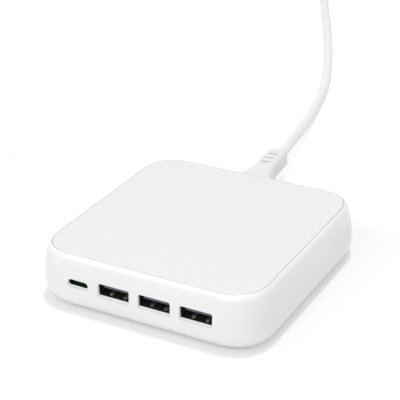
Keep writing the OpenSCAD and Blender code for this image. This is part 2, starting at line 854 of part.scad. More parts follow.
// Half width of the grip: full at the housing, then a smooth fall to the narrow part
function grip_half(y) =
    let (t = min(1, max(0, (y - grip_start) / (neck_end - grip_start))))
    (grip_w + (connector_w - grip_w) * (1 + cos(180 * t)) / 2) / 2;

// Square cross-section with round edges, as a ring of points
function grip_ring(y, shrink) =
    let (w = grip_half(y) - shrink, h = grip_h / 2 - shrink, count = 32, e = 0.5)
    [for (i = [0 : count - 1]) let (t = 360 * i / count, c = cos(t), s = sin(t))
        [w * sign(c) * pow(abs(c), e), y, h * sign(s) * pow(abs(s), e)]];

// Solid skinned over rings that all have the same number of points, along +y
module skin(rings) {
    count = len(rings[0]);
    last = len(rings) - 1;
    points = [for (r = rings) each r];
    sides = [for (i = [0 : last - 1], j = [0 : count - 1])
        let (n = (j + 1) % count, low = i * count, high = low + count)
        each [[low + j, high + n, high + j], [low + j, low + n, high + n]]];
    start = [[for (j = [count - 1 : -1 : 0]) j]];
    end = [[for (j = [0 : count - 1]) last * count + j]];
    polyhedron(points, concat(start, sides, end));
}

// Groove across the grip: a straight wall towards the housing, and a slope towards the lead
module grip_groove(y, side) {
    above = 0.5;
    mirror([0, 0, side])
        translate([-groove_w / 2, y, grip_h / 2])
            rotate([90, 0, 90])
                linear_extrude(groove_w)
                    polygon([[0, -groove_depth], [groove_l, 0], [groove_l, above], [0, above]]);
}

module connector_body() {
    edge = 1.2;
    stations = [for (i = [0 : 9]) grip_start + 0.6 + (neck_end - grip_start - 0.6) * i / 9];
    grip = concat(
        [grip_ring(grip_start, 0.5)],
        [for (y = stations) grip_ring(y, 0)],
        [for (a = [0 : 30 : 60]) grip_ring(connector_l - edge * (1 - sin(a)), edge * (1 - cos(a)))],
        [grip_ring(connector_l, edge)]);
    color([0.92, 0.92, 0.92])
        connector_place()
            difference() {
                union() {
                    skin(grip);
                    translate([0, nose_start, 0])
                        figure_eight(nose_w, nose_h, nose_waist, grip_start - nose_start + 0.5);
                }
                for (x = [-1, 1])
                    translate([x * inlet_pitch / 2, nose_start - 1, 0])
                        rotate([-90, 0, 0])
                            cylinder(h = socket_l + 1.5, d = socket_bore_d, $fn = round_fn);
                for (k = [0 : 2], side = [0, 1])
                    grip_groove(groove_y + k * groove_pitch, side);
            }
}

module connector_sockets() {
    color([0.8, 0.7, 0.45])
        connector_place()
            for (x = [-1, 1])
                translate([x * inlet_pitch / 2, nose_start + 0.3, 0])
                    rotate([-90, 0, 0])
                        difference() {
                            cylinder(h = socket_l + 0.2, d = socket_d, $fn = round_fn);
                            translate([0, 0, -1])
                                cylinder(h = socket_l + 0.2, d = socket_hole_d, $fn = round_fn);
                        }
}

function direction(route, i) =
    let (last = len(route) - 1, step = route[min(i + 1, last)] - route[max(i - 1, 0)])
    step / norm(step);

// Ring of the tube round one point of its route
function tube_ring(route, i) =
    let (d = direction(route, i), side = cross(d, [0, 0, 1]) / norm(cross(d, [0, 0, 1])), up = cross(side, d))
    [for (k = [0 : cord_sides - 1]) let (t = 360 * k / cord_sides)
        route[i] + cord_d / 2 * (cos(t) * side + sin(t) * up)];

module tube(route) {
    skin([for (i = [0 : len(route) - 1]) tube_ring(route, i)]);
}

module mains_lead() {
    color([0.95, 0.95, 0.95])
        tube(cord_route);
}

module lead_tail() {
    color([0.95, 0.95, 0.95])
        tube(tail_route);
}

// The coil's outer shape, wrapped turn on turn in two layers
module lead_coil() {
    edge = cord_d / 2;
    color([0.95, 0.95, 0.95])
        translate([coil_x, coil_y, tie_t])
            rotate_extrude($fn = 96)
                translate([coil_r_mid, coil_h / 2])
                    rounded_rectangle(2 * coil_half_w, coil_h, edge);
}

// Band that follows the coil's section round the bundle
module coil_tie() {
    span = tie_w / coil_r_mid * 180 / PI;
    color([0.97, 0.97, 0.97])
        translate([coil_x, coil_y, tie_t])
            rotate([0, 0, -span / 2])
                rotate_extrude(angle = span, $fn = 96)
                    translate([coil_r_mid, coil_h / 2])
                        difference() {
                            rounded_rectangle(2 * (coil_half_w + tie_t), coil_h + 2 * tie_t, cord_d / 2 + tie_t);
                            rounded_rectangle(2 * (coil_half_w + tie_gap), coil_h + 2 * tie_gap, cord_d / 2);
                        }
}

// Flattened hexagon with soft corners, blended to a circle at the strain relief
function plug_ring(x) =
    let (
        full = plug_l - 14,
        t = (1 - cos(180 * min(1, max(0, x / full)))) / 2,
        w = (grip_d + (plug_w - grip_d) * t) / 2,
        h = (grip_d + (plug_h - grip_d) * t) / 2,
        slant = 0.5 * t * h / w,
        p = 2 + 8 * t,
        count = 32)
    [for (i = [0 : count - 1])
        let (a = -360 * i / count, c = cos(a), s = sin(a), u = abs(c) + slant * abs(s))
        [x, w * c / pow(pow(abs(s), p) + pow(u, p), 1 / p), h * s / pow(pow(abs(s), p) + pow(u, p), 1 / p)]];

// The flat two-pin plug, along +x from the end of the lead to the pins
module plug_body() {
    edge = 0.8;
    face_ring = [for (q = plug_ring(plug_l)) [q[0], q[1] * (1 - 2 * edge / plug_w), q[2] * (1 - 2 * edge / plug_h)]];
    color([0.95, 0.95, 0.95])
        translate([plug_x, tail_y, plug_z])
            difference() {
                union() {
                    rotate([0, 90, 0])
                        cylinder(h = relief_l + 0.5, d1 = cord_d + 2, d2 = grip_d, $fn = round_fn);
                    translate([relief_l, 0, 0])
                        skin(concat([for (k = [0 : 12]) plug_ring((plug_l - edge) * k / 12)], [face_ring]));
                }
                for (y = [-1, 1])
                    translate([relief_l + plug_l - shank_l - 1, y * pin_pitch / 2, 0])
                        rotate([0, 90, 0])
                            cylinder(h = shank_l + 2, d = shank_d, $fn = round_fn);
                for (k = [1 : 5])
                    translate([k * relief_l / 6, 0, 0])
                        rotate([0, 90, 0])
                            difference() {
                                cylinder(h = 1.2, d = grip_d + 4, $fn = round_fn);
                                translate([0, 0, -1])
                                    cylinder(h = 4, d = cord_d + 0.6 + k * 0.35, $fn = round_fn);
                            }
            }
}

module plug_pins() {
    tip = 0.8;
    color([0.8, 0.8, 0.82])
        for (y = [-1, 1])
            translate([plug_face_x, tail_y + y * pin_pitch / 2, plug_z])
                rotate([0, 90, 0]) {
                    translate([0, 0, -shank_l])
                        cylinder(h = shank_l, d = shank_d - 0.1, $fn = round_fn);
                    cylinder(h = sleeve_l, d = sleeve_in, $fn = round_fn);
                    translate([0, 0, sleeve_l])
                        cylinder(h = pin_l - sleeve_l - tip, d = pin_d, $fn = round_fn);
                    translate([0, 0, pin_l - tip])
                        cylinder(h = tip, d1 = pin_d, d2 = pin_d - 2 * tip, $fn = round_fn);
                }
}

module pin_sleeves() {
    color([0.95, 0.95, 0.95])
        for (y = [-1, 1])
            translate([plug_face_x, tail_y + y * pin_pitch / 2, plug_z])
                rotate([0, 90, 0])
                    difference() {
                        cylinder(h = sleeve_l, d = sleeve_d, $fn = round_fn);
                        translate([0, 0, -1])
                            cylinder(h = sleeve_l + 2, d = sleeve_in, $fn = round_fn);
                    }
}

housing();
lid();
foot(-1, -1);  // foot_front_left
foot(1, -1);  // foot_front_right
foot(-1, 1);  // foot_rear_left
foot(1, 1);  // foot_rear_right
main_board();
port_board();
board_screws();
usb_a_shell(1);  // usb_a_shell_1
usb_a_shell(2);  // usb_a_shell_2
usb_a_shell(3);  // usb_a_shell_3
usb_a_tongue(1);  // usb_a_tongue_1
usb_a_tongue(2);  // usb_a_tongue_2
usb_a_tongue(3);  // usb_a_tongue_3
usb_a_contacts(1);  // usb_a_contacts_1
usb_a_contacts(2);  // usb_a_contacts_2
usb_a_contacts(3);  // usb_a_contacts_3
usb_c_shell();
usb_c_tongue();
usb_c_contacts();
inlet_moulding();
inlet_pins();
transformer_core();
transformer_bobbin();
transformer_winding();
bulk_capacitor(-1);  // bulk_capacitor_left
bulk_capacitor(1);  // bulk_capacitor_right
output_capacitor(0);  // output_capacitor_front
output_capacitor(1);  // output_capacitor_rear
line_choke_core();
line_choke_winding();
output_choke_core();
output_choke_winding();
suppression_capacitor();
fuse();
bridge_rectifier();
heat_sink();
switching_transistor();
connector_body();
connector_sockets();
mains_lead();
lead_coil();
lead_tail();
coil_tie();
plug_body();
plug_pins();
pin_sleeves();
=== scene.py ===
import json
import math

import bmesh
import bpy
import numpy as np
from mathutils import Matrix, Vector


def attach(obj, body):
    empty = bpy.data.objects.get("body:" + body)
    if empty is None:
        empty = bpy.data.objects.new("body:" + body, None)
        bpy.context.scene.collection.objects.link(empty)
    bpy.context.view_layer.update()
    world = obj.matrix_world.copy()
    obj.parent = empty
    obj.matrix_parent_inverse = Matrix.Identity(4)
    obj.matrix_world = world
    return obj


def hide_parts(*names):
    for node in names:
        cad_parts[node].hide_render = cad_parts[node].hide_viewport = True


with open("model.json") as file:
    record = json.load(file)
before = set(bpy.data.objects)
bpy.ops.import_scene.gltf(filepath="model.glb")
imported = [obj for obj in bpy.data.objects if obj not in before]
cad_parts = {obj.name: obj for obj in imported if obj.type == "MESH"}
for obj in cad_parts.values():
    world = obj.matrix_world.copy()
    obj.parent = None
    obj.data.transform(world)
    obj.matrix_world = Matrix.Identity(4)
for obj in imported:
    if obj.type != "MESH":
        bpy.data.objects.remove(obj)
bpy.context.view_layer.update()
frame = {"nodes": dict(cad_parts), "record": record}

MM = 0.001
BODY = "root"
QUARTER = math.pi / 2

# Points nearer than this are one, and edges shorter than this have no length, in metres
SAME_POINT = 2e-7
NO_LENGTH = 1e-8

# Sizes of the housing in millimetres, its heights from its own underside
BODY_W = 96.0
BODY_D = 96.0
BODY_H = 22.2
FOOT_H = 0.8
FOOT_T = 1.6
FOOT_R = 5.0
FOOT_EDGE = 0.5
FOOT_IN = 17.0
CORNER_R = 18.0
CORNER_N = 2.5
CORNER_STEPS = 12
HALF_W = BODY_W / 2 - CORNER_R
HALF_D = BODY_D / 2 - CORNER_R
BELLY = 7.7
LEAN = 2.2 / (BODY_H - BELLY) ** 2
TUCK = 1.0 / BELLY**2
BASE_R = 5.8
RIM_R = 2.9
RIM_LEAN = math.radians(15)
SEAM = math.radians(65)
SEAM_GAP = 0.2
SEAM_EASE = (0.02, 0.05)
WALL_T = 1.8
FLOOR_T = 2.0
LID_Z = BODY_H - 2.0
LID_EDGE_R = 1.4
LEDGE_W = 2.0
LEDGE_T = 1.2
RIB_CLEAR = 0.2
RIB_H = 1.8
RIB_T = 1.2
POST_X = 36.0
POST_YS = (-33.0, 17.0)
POST_R = 3.2
POST_H = 3.0
SCREW_D = 2.4

# Windows as width, height and corner radius, and the heights of the wall's rows beside and beyond them
PORT_H = 11.5
PORT_Z = FOOT_H + PORT_H
PORT_XS = (-10.6, 6.6, 23.8)
PORT_PITCH = 17.2
USB_C_X = -26.2
INLET_RISE = 11.9
INLET_Z = FOOT_H + INLET_RISE
INLET_X = -4.5
INLET_DEPTH = 14.0
WINDOW = (13.2, 5.6, 0.7)
USB_C_WINDOW = (9.0, 3.2, 1.59)
INLET_WINDOW = (20.3, 11.7, 2.15)
LIP = 0.25
WINDOW_ROWS = np.linspace(7.6, 15.0, 9)
WINDOW_STEPS = len(WINDOW_ROWS) - 1
ROWS_BELOW = (6.1, 6.8)
ROWS_ABOVE = (16.0, 17.0, 18.1, 19.2)

# What is seen in a socket, along y from the shells' front edge in the part's source
PORT_FRONT = -45.999
SOCKET_BACK = PORT_FRONT + 14.0
SOCKET_STEPS = (18, 8)
USB_A_LINING = (13.1, 5.5, 0.65)
USB_A_OPENING = (12.8, 4.5, 0.25)
USB_C_LINING = (8.94, 3.16, 1.57)
USB_C_OPENING = (8.3, 2.3, 0.9)
SILL_TOP = 1.2
SILL_REACH = 0.75
BLADE = (11.1, 1.48, 0.25)
BLADE_RISE = 1.1
ROOT_BLOCK = (12.7, 4.4, 0.2)
ROOT_RISE = 0.32
SPRING_HALF_W = 0.95
SPRING_TIP_R = 1.3
SPRING_FLOOR = 2.0
SPRING_LIFT = 0.12
SPRING_RISE = 0.75
SPRING_DOME = 0.35
SPRING_T = 0.16
SPRING_XS = (-2.2, 3.6)

# The lead's connector, turned in the inlet, along its own length from its pivot
TURN = math.radians(5)
PIVOT_FROM_FLOOR = 6.9
GRIP_CLEAR = 1.3
CONNECTOR_L = 45.0
CONNECTOR_EDGE = 1.3
WIDE_W = 17.2
GRIP_W = 9.3
GRIP_H = 8.4
NECK_END = 29.0
GROOVES = (29.2, 33.3, 37.4)
GROOVE_L = 1.7
GROOVE_DEPTH = 0.85
GROOVE_HALF_W = 1.95
GROOVED = (29.3, 40.3, 0.1)
NOSE_W = 15.4
NOSE_H = 7.8
NOSE_START = -2.5

# The mains lead, its route's points in metres as in the part's source
LEAD_D = 0.005
LEAD_SIDES = 20
PATH_STEP = 0.0015
EASED_POINTS = 17
LEAD_ROUTE = (
    (-0.0094, 0.096, 0.0125), (-0.0116, 0.104, 0.0116), (-0.014, 0.1155, 0.0096),
    (-0.0172, 0.1275, 0.0074), (-0.020, 0.139, 0.0054), (-0.0227, 0.1495, 0.004),
    (-0.0252, 0.1595, 0.0031), (-0.028, 0.171, 0.0026), (-0.0313, 0.184, 0.0025),
    (-0.0355, 0.198, 0.0025), (-0.040, 0.2105, 0.0025), (-0.045, 0.223, 0.0025),
    (-0.0505, 0.236, 0.0025), (-0.056, 0.249, 0.0025), (-0.062, 0.262, 0.0025),
    (-0.068, 0.275, 0.0025), (-0.074, 0.288, 0.0025), (-0.0805, 0.301, 0.0025),
    (-0.087, 0.314, 0.0025), (-0.093, 0.327, 0.0025), (-0.099, 0.3385, 0.0026),
    (-0.1045, 0.349, 0.0029), (-0.1098, 0.3598, 0.0033),
)
COIL = (-0.086, 0.393)
COIL_R_OUT = 0.036
COIL_R_IN = 0.020
COIL_ENTRY = math.radians(205.9)
COIL_TURNS = 6.322
TIE_T = 0.8
TIE_W = 9.0
TAIL_X = -0.0665
TAIL_Y = 0.429
TAIL_DROP = ((-0.009, 0.00145), (0.0, 0.0014), (0.003, 0.0013), (0.0065, 0.0006), (0.0095, 0.0))

# The plug and its pins in millimetres, but for where the plug starts along x, in metres
PLUG_X = -0.05395
PLUG_Z = 6.85
PLUG_W = 35.3
PLUG_H = 13.7
PLUG_L = 36.0
PLUG_FULL = PLUG_L - 14
PLUG_EDGE = 1.0
RELIEF_L = 20.0
RELIEF_D = 9.0
RELIEF_RINGS = 5
RELIEF_START_R = 3.5
PIN_D = 4.0
PIN_L = 19.0
PIN_TIP = 1.2
PIN_PITCH = 18.6
SLEEVE_L = 10.0
SLEEVE_D = 3.6
SLEEVE_BORE = SLEEVE_D / 2 - 0.5


def wall_inset(z):
    """How far the wall stands in at a height: a parabola on each side of its widest line."""
    return np.where(z > BELLY, LEAN, TUCK) * (z - BELLY) ** 2


# Worked out from the sizes above
INLET_Y = BODY_D / 2 - float(wall_inset(INLET_RISE))
PIVOT_Y = INLET_Y - INLET_DEPTH + PIVOT_FROM_FLOOR
GRIP_START = INLET_Y - PIVOT_Y + GRIP_CLEAR
CAVITY_IN = WALL_T + float(wall_inset(PORT_H))
SEAM_Z = BODY_H - LID_EDGE_R * (1 - math.sin(SEAM))
RIM_TILT = math.atan(2 * LEAN * (SEAM_Z - BELLY - RIM_R * (math.sin(SEAM) - math.sin(RIM_LEAN))))
RIM_Z = SEAM_Z - RIM_R * (math.sin(SEAM) - math.sin(RIM_TILT))
SEAM_IN = float(wall_inset(RIM_Z)) + RIM_R * (math.cos(RIM_TILT) - math.cos(SEAM))
LEDGE_IN = SEAM_IN + SEAM_GAP + LEDGE_W
BASE_TILT = math.atan(2 * TUCK * (BELLY - BASE_R))


# Mesh helpers

def grid_faces(rows, columns, closed=False, keep=None):
    """Quads between neighbouring rows and columns of points; closed joins the last column to the first."""
    across = columns if closed else columns - 1
    row, column = np.meshgrid(np.arange(rows - 1), np.arange(across), indexing="ij")
    right = (column + 1) % columns
    near, far = row * columns, (row + 1) * columns
    quads = np.stack([near + column, near + right, far + right, far + column], -1)
    if keep is not None:
        quads = quads[keep]
    return quads.reshape(-1, 4)


def closed_sheet(points):
    """A grid of points with its faces, each row a closed line."""
    return points, grid_faces(*points.shape[:2], closed=True)


def capped_sheet(grid, ends):
    """A sheet with a row at each end that is all one point, which closes it."""
    first, last = (np.broadcast_to(end, grid.shape[1:])[None] for end in ends)
    return closed_sheet(np.concatenate([first, grid, last]))


def moved(sheet, x, y, z=0.0):
    """A sheet shifted as a whole."""
    points, faces = sheet
    return points + np.array([x, y, z]), faces


def in_three(values):
    """One value for each point, repeated three times, since the mesh attribute is a vector."""
    return values.ravel()[:, None] * np.ones(3)


def round_angles(count):
    """Even angles round a full turn."""
    return np.linspace(0, 2 * np.pi, count, endpoint=False)


def revolved(profile, sides):
    """A closed line of (radius, height) pairs carried round the z axis: x and y are the radius times cosine
    and sine."""
    profile = np.asarray(profile, float)
    angle = round_angles(sides)
    x = profile[:, :1] * np.cos(angle)
    y = profile[:, :1] * np.sin(angle)
    z = np.repeat(profile[:, 1:], sides, 1)
    return closed_sheet(np.stack([x, y, z], -1))


def placed(name, data):
    """A new object in the scene."""
    made = bpy.data.objects.new(name, data)
    bpy.context.scene.collection.objects.link(made)
    return made


def piece(name, sheets, slot, replaced, finish=None, crease=35.0, surface=None):
    """One closed mesh from sheets, pairs of points in millimetres and faces, merged where they meet edge to
    edge. Its finish is its slot's or another one, and surface is what that finish reads at each point."""
    flat = [points.reshape(-1, 3) for points, _ in sheets]
    starts = np.cumsum([0] + [len(points) for points in flat[:-1]])
    faces = np.concatenate([quads + start for (_, quads), start in zip(sheets, starts)])
    mesh = bpy.data.meshes.new(name)
    mesh.from_pydata(np.concatenate(flat) * MM, [], faces.tolist())
    if surface is not None:
        layer = mesh.attributes.new("surface", "FLOAT_VECTOR", "POINT")
        layer.data.foreach_set("vector", surface.astype(np.float32).ravel())
    build = bmesh.new()
    build.from_mesh(mesh)
    bmesh.ops.remove_doubles(build, verts=build.verts, dist=SAME_POINT)
    bmesh.ops.dissolve_degenerate(build, edges=build.edges, dist=NO_LENGTH)
    bmesh.ops.recalc_face_normals(build, faces=build.faces)
    build.to_mesh(mesh)
    build.free()
    mesh.polygons.foreach_set("use_smooth", np.ones(len(mesh.polygons), bool))
    mesh.set_sharp_from_angle(angle=math.radians(crease))
    mesh.materials.append(FINISHES[finish or slot])
    made = placed(name, mesh)
    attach(made, BODY)
    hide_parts(*replaced)
    return made


# Housing and lid

def side_line(positions):
    """One side as places and outward directions: straight, then a superellipse |x|^n + |y|^n = 1."""
    along = np.clip(positions, -HALF_W, HALF_W)
    s = (positions - along) / CORNER_R
    out = (1 - np.abs(s) ** CORNER_N) ** (1 / CORNER_N)
    return np.stack([along, np.full_like(along, HALF_W)], -1), np.stack([s, out], -1)


def corner_positions(first=0.0):
    """Places along a side from a share of the corner up to its middle, evenly turned."""
    t = np.linspace(math.asin(first ** (CORNER_N / 2)), math.pi / 4, CORNER_STEPS + 1)
    return HALF_W + CORNER_R * np.sin(t) ** (2 / CORNER_N)


def window_block(centre, half, steps, window):
    """The stretch of the wall that a window's sheet replaces: its ends, its steps, the window's middle and
    its outline."""
    return centre - half, centre + half, steps, centre, window


BLOCKS = [window_block(USB_C_X, 7, 14, USB_C_WINDOW)]
BLOCKS += [window_block(x, PORT_PITCH / 2, 18, WINDOW) for x in PORT_XS]
INLET_BLOCK = window_block(-INLET_X, 12.5, 20, INLET_WINDOW)
INLET_ROWS_BELOW = 3
INLET_ROWS_ABOVE = 4


def front_positions():
    """Places along the front: the corner, then each window's block in even steps, then the other corner."""
    left = -corner_positions((-BLOCKS[0][0] - HALF_W) / CORNER_R)[::-1]
    right = corner_positions((BLOCKS[-1][1] - HALF_W) / CORNER_R)
    middle = [np.linspace(start, end, steps + 1)[1:] for start, end, steps, _, _ in BLOCKS]
    return np.concatenate([left, *middle, right[1:]]), len(left) - 1


def ring_lines():
    """The whole line round the housing, counter-clockwise from the front left: its places, its outward
    directions, and the columns where the front's and the rear's blocks start."""
    front, first_block = front_positions()
    corner = corner_positions()
    plain = np.concatenate([-corner[::-1], np.linspace(-HALF_W, HALF_W, 17)[1:-1], corner])
    start, end, steps = INLET_BLOCK[:3]
    before = np.linspace(-HALF_W, start, 7)[1:-1]
    after = np.linspace(end, HALF_W, 5)[1:-1]
    rear = np.concatenate([-corner[::-1], before, np.linspace(start, end, steps + 1), after, corner])
    rear_block = len(front) + len(plain) - 2 + len(corner) + len(before)
    places, outs = [], []
    for quarter, positions in enumerate((front, plain, rear, plain)):
        place, out = side_line(positions)
        turn = -QUARTER + quarter * QUARTER
        along_axis = np.array([math.cos(turn + QUARTER), math.sin(turn + QUARTER)])
        out_axis = np.array([math.cos(turn), math.sin(turn)])
        for found, pairs in ((places, place), (outs, out)):
            found.append(pairs[:-1, :1] * along_axis + pairs[:-1, 1:] * out_axis)
    return np.concatenate(places), np.concatenate(outs), first_block, rear_block


PLACES, OUTS, FIRST_BLOCK, REAR_BLOCK = ring_lines()


def skin(levels):
    """Rows of points round the housing, one for each (inset, height, scale): the place plus the outward
    direction times the corner's radius less the inset, shrunk towards the middle by the scale."""
    inset, height, scale = (np.asarray(v, float)[:, None, None] for v in zip(*levels))
    flat = (PLACES + OUTS * (CORNER_R - inset)) * scale
    z = np.broadcast_to(height + FOOT_H, flat.shape[:2] + (1,))
    return np.concatenate([flat, z], -1)


def arc(middle, centre, radius, start, end, steps):
    """Levels along an edge's circle, from one slope to another."""
    angle = np.linspace(start, end, steps + 1)
    return [(middle - radius * math.cos(a), centre + radius * math.sin(a), 1.0) for a in angle]


def full_size(line):
    """Levels of a line of (inset, height) pairs, none of them shrunk."""
    return [(inset, height, 1.0) for inset, height in line]


def front_depth(x, z, inset=None):
    """Depth of the front wall at a place: half the straight part plus the superellipse of the corner."""
    r = CORNER_R - (wall_inset(z) if inset is None else inset)
    s = np.maximum(np.abs(x) - HALF_W, 0) / r
    return -(HALF_D + r * (1 - s**CORNER_N) ** (1 / CORNER_N))


def window_line(width, height, radius, x_steps, z_steps, out=0.0):
    """A rectangle with round corners, counter-clockwise from the middle of the lower left one, with three
    steps for each half of a corner."""
    radius, w, h = radius + out, width / 2 + out, height / 2 + out
    half_arc = np.linspace(0, math.pi / 4, 4)

    def side(length, steps, reach):
        """Places along a side and away from the middle: straight, with corners by sine and cosine."""
        flat = length - radius
        straight = np.linspace(-flat, flat, steps - 5)[1:-1]
        rise = radius * (1 - np.cos(half_arc))
        run = radius * np.sin(half_arc)
        along = np.concatenate([-flat - run[::-1], straight, flat + run[:-1]])
        away = np.concatenate([rise[::-1], np.zeros(len(straight)), rise[:-1]])
        return along, away - reach

    ax, az = side(w, x_steps, h)
    bz, bx = side(h, z_steps, w)
    return np.stack([np.concatenate([ax, -bx, -ax, bx]), np.concatenate([az, bz, -az, -bz])], -1)


def window_sheet(grid, first_row, inner_row, first_column, block, rows=WINDOW_STEPS, centre_z=PORT_Z):
    """A window through the wall: rings from its block's edge to its outline, round the lip, through the
    wall and out to the block's inner edge."""
    _, _, steps, centre_x, (width, height, radius) = block

    def edge(lowest_row, sign):
        """The block's four sides on the skin, counter-clockwise from its lower left corner."""
        r = lowest_row + sign * np.arange(rows + 1)
        c = first_column + np.arange(steps + 1)
        sides = [grid[r[0], c[:-1]], grid[r[:-1], c[-1]], grid[r[-1], c[:0:-1]], grid[r[:0:-1], c[0]]]
        return np.concatenate(sides)

    def ring(flat, inset=None, further=0.0):
        """A flat line laid on the front's curve at an inset, and moved further in."""
        depth = front_depth(flat[:, 0], flat[:, 1] - FOOT_H, inset) + further
        return np.stack([flat[:, 0], depth, flat[:, 1]], -1)

    outer, inner = edge(first_row, 1), edge(inner_row, -1)
    behind = inner[:, 1] - front_depth(inner[:, 0], inner[:, 2], CAVITY_IN)
    centre = np.array([centre_x, centre_z])
    wide = centre + window_line(width, height, radius, steps, rows, LIP)
    narrow = centre + window_line(width, height, radius, steps, rows)
    rings = [ring(outer[:, [0, 2]] * (1 - t) + wide * t) for t in np.linspace(0, 1, 6)]
    for a in np.linspace(0, QUARTER, 5)[1:]:
        rings.append(ring(wide + (narrow - wide) * math.sin(a), further=LIP * (1 - math.cos(a))))
    for t in np.linspace(0, 1, 5):
        rings.append(ring(narrow * (1 - t) + inner[:, [0, 2]] * t, CAVITY_IN, t * behind))
    rings[0], rings[-1] = outer, inner
    return closed_sheet(np.stack(rings))


def housing_levels():
    """Levels from the underside's middle up the wall, over the rim, down the seam and round the cavity,
    with the rows where the windows start outside and end inside."""
    base_z = BASE_R * (1 - math.sin(BASE_TILT))
    base_middle = float(wall_inset(base_z)) + BASE_R * math.cos(BASE_TILT)
    under = [(base_middle, 0.0, scale) for scale in (0.0, 0.3, 0.6, 0.8, 0.93)]
    base = arc(base_middle, BASE_R, BASE_R, -QUARTER, -BASE_TILT, 12)
    wall = full_size((float(wall_inset(z)), z) for z in (*ROWS_BELOW, *WINDOW_ROWS, *ROWS_ABOVE))
    rim = arc(SEAM_IN + RIM_R * math.cos(SEAM), SEAM_Z - RIM_R * math.sin(SEAM), RIM_R, RIM_TILT, SEAM, 12)
    seam_in = SEAM_IN + SEAM_EASE[0]
    seam = [(seam_in, SEAM_Z - SEAM_EASE[1]), (seam_in, LID_Z)]
    seam += [(LEDGE_IN, LID_Z), (LEDGE_IN, LID_Z - LEDGE_T)]
    inside = [(CAVITY_IN, z) for z in WINDOW_ROWS[::-1]]
    cavity_r = BASE_R - WALL_T
    corner = [
        (CAVITY_IN + cavity_r * (1 - math.cos(t)), FLOOR_T + cavity_r * (1 - math.sin(t)))
        for t in np.linspace(0, QUARTER, 6)
    ]
    floor = [(CAVITY_IN + cavity_r, FLOOR_T, scale) for scale in (0.8, 0.5, 0.0)]
    first_row = len(under + base) + len(ROWS_BELOW)
    inner_last = len(under + base + wall + rim + seam + inside) - 1
    return under + base + wall + rim + full_size(seam + inside + corner) + floor, first_row, inner_last


def housing_sheets():
    """The housing's skin with a sheet in place of each window's block, on both sides, and its posts."""
    levels, first_row, inner_last = housing_levels()
    grid = skin(levels)
    rows, columns = grid.shape[:2]
    keep = np.ones((rows - 1, columns), bool)

    def cut(outer_row, inner_row, column, across, up):
        """Leaves a block's faces out of the skin, outside and inside."""
        keep[outer_row : outer_row + up, column : column + across] = False
        keep[inner_row - up : inner_row, column : column + across] = False

    sheets = []
    column = FIRST_BLOCK
    for block in BLOCKS:
        cut(first_row, inner_last, column, block[2], WINDOW_STEPS)
        sheets.append(window_sheet(grid, first_row, inner_last, column, block))
        column += block[2]
    half_turn = np.array([-1.0, -1.0, 1.0])
    up = INLET_ROWS_BELOW + WINDOW_STEPS + INLET_ROWS_ABOVE
    outer_row = first_row - INLET_ROWS_BELOW
    inner_row = inner_last - WINDOW_STEPS - 1 + up
    cut(outer_row, inner_row, REAR_BLOCK, INLET_BLOCK[2], up)
    turned = grid * half_turn
    points, faces = window_sheet(turned, outer_row, inner_row, REAR_BLOCK, INLET_BLOCK, up, INLET_Z)
    sheets.append((points * half_turn, faces))
    return [(grid, grid_faces(rows, columns, closed=True, keep=keep))] + sheets + post_sheets()


def post_sheets():
    """The four posts under the main board: a tube with a blind hole for its screw, revolved."""
    foot, top, edge = FOOT_H + FLOOR_T - 0.5, FOOT_H + FLOOR_T + POST_H, 0.2
    bore, bore_floor = SCREW_D / 2, foot + 0.6
    line = [(0.0, foot), (POST_R, foot), (POST_R, top - edge), (POST_R - edge, top)]
    line += [(bore, top), (bore, bore_floor), (0.0, bore_floor)]
    return [moved(revolved(line, 32), x, y) for x in (-POST_X, POST_X) for y in POST_YS]


def lid_sheets():
    """The lid from its middle over the round edge and down the seam, then along its underside and round its
    centring rib."""
    edge_in = SEAM_IN + SEAM_GAP
    down_in = edge_in + SEAM_EASE[0]
    rib_in, rib_back = LEDGE_IN + RIB_CLEAR, LEDGE_IN + RIB_CLEAR + RIB_T
    middle = edge_in + LID_EDGE_R * math.cos(SEAM)
    top = [(middle, BODY_H, scale) for scale in (0.0, 0.25, 0.5, 0.7, 0.85, 0.95)]
    edge = arc(middle, BODY_H - LID_EDGE_R, LID_EDGE_R, QUARTER, SEAM, 10)
    down = [(down_in, edge[-1][1] - SEAM_EASE[1]), (down_in, LID_Z), (rib_in, LID_Z)]
    under = [(rib_in, LID_Z - RIB_H), (rib_back, LID_Z - RIB_H), (rib_back, LID_Z)]
    centre = [(rib_back, LID_Z, scale) for scale in (0.8, 0.4, 0.0)]
    return [closed_sheet(skin(top + edge + full_size(down + under) + centre))]


def foot_sheets(x, y):
    """A rubber foot: a disc with a round lower edge, revolved."""
    line = [(0.0, 0.0), (FOOT_R / 2, 0.0)]
    for a in np.linspace(0, QUARTER, 7):
        line.append((FOOT_R - FOOT_EDGE + FOOT_EDGE * math.sin(a), FOOT_EDGE - FOOT_EDGE * math.cos(a)))
    line += [(FOOT_R, FOOT_T), (0.0, FOOT_T)]
    return [moved(revolved(line, 48), x, y)]


# Sockets

def socket_line(size, out=0.0):
    """A window's line in the steps that all the socket's pieces share."""
    return window_line(*size, *SOCKET_STEPS, out)


def carried(rings):
    """Closed lines of (x, z) pairs carried along y: each ring is a line and its place along y, and a last
    one like the first closes the wall between them."""
    return closed_sheet(np.stack([
        np.stack([line[:, 0], np.broadcast_to(y, len(line)), line[:, 1]], -1) for line, y in rings
    ]))


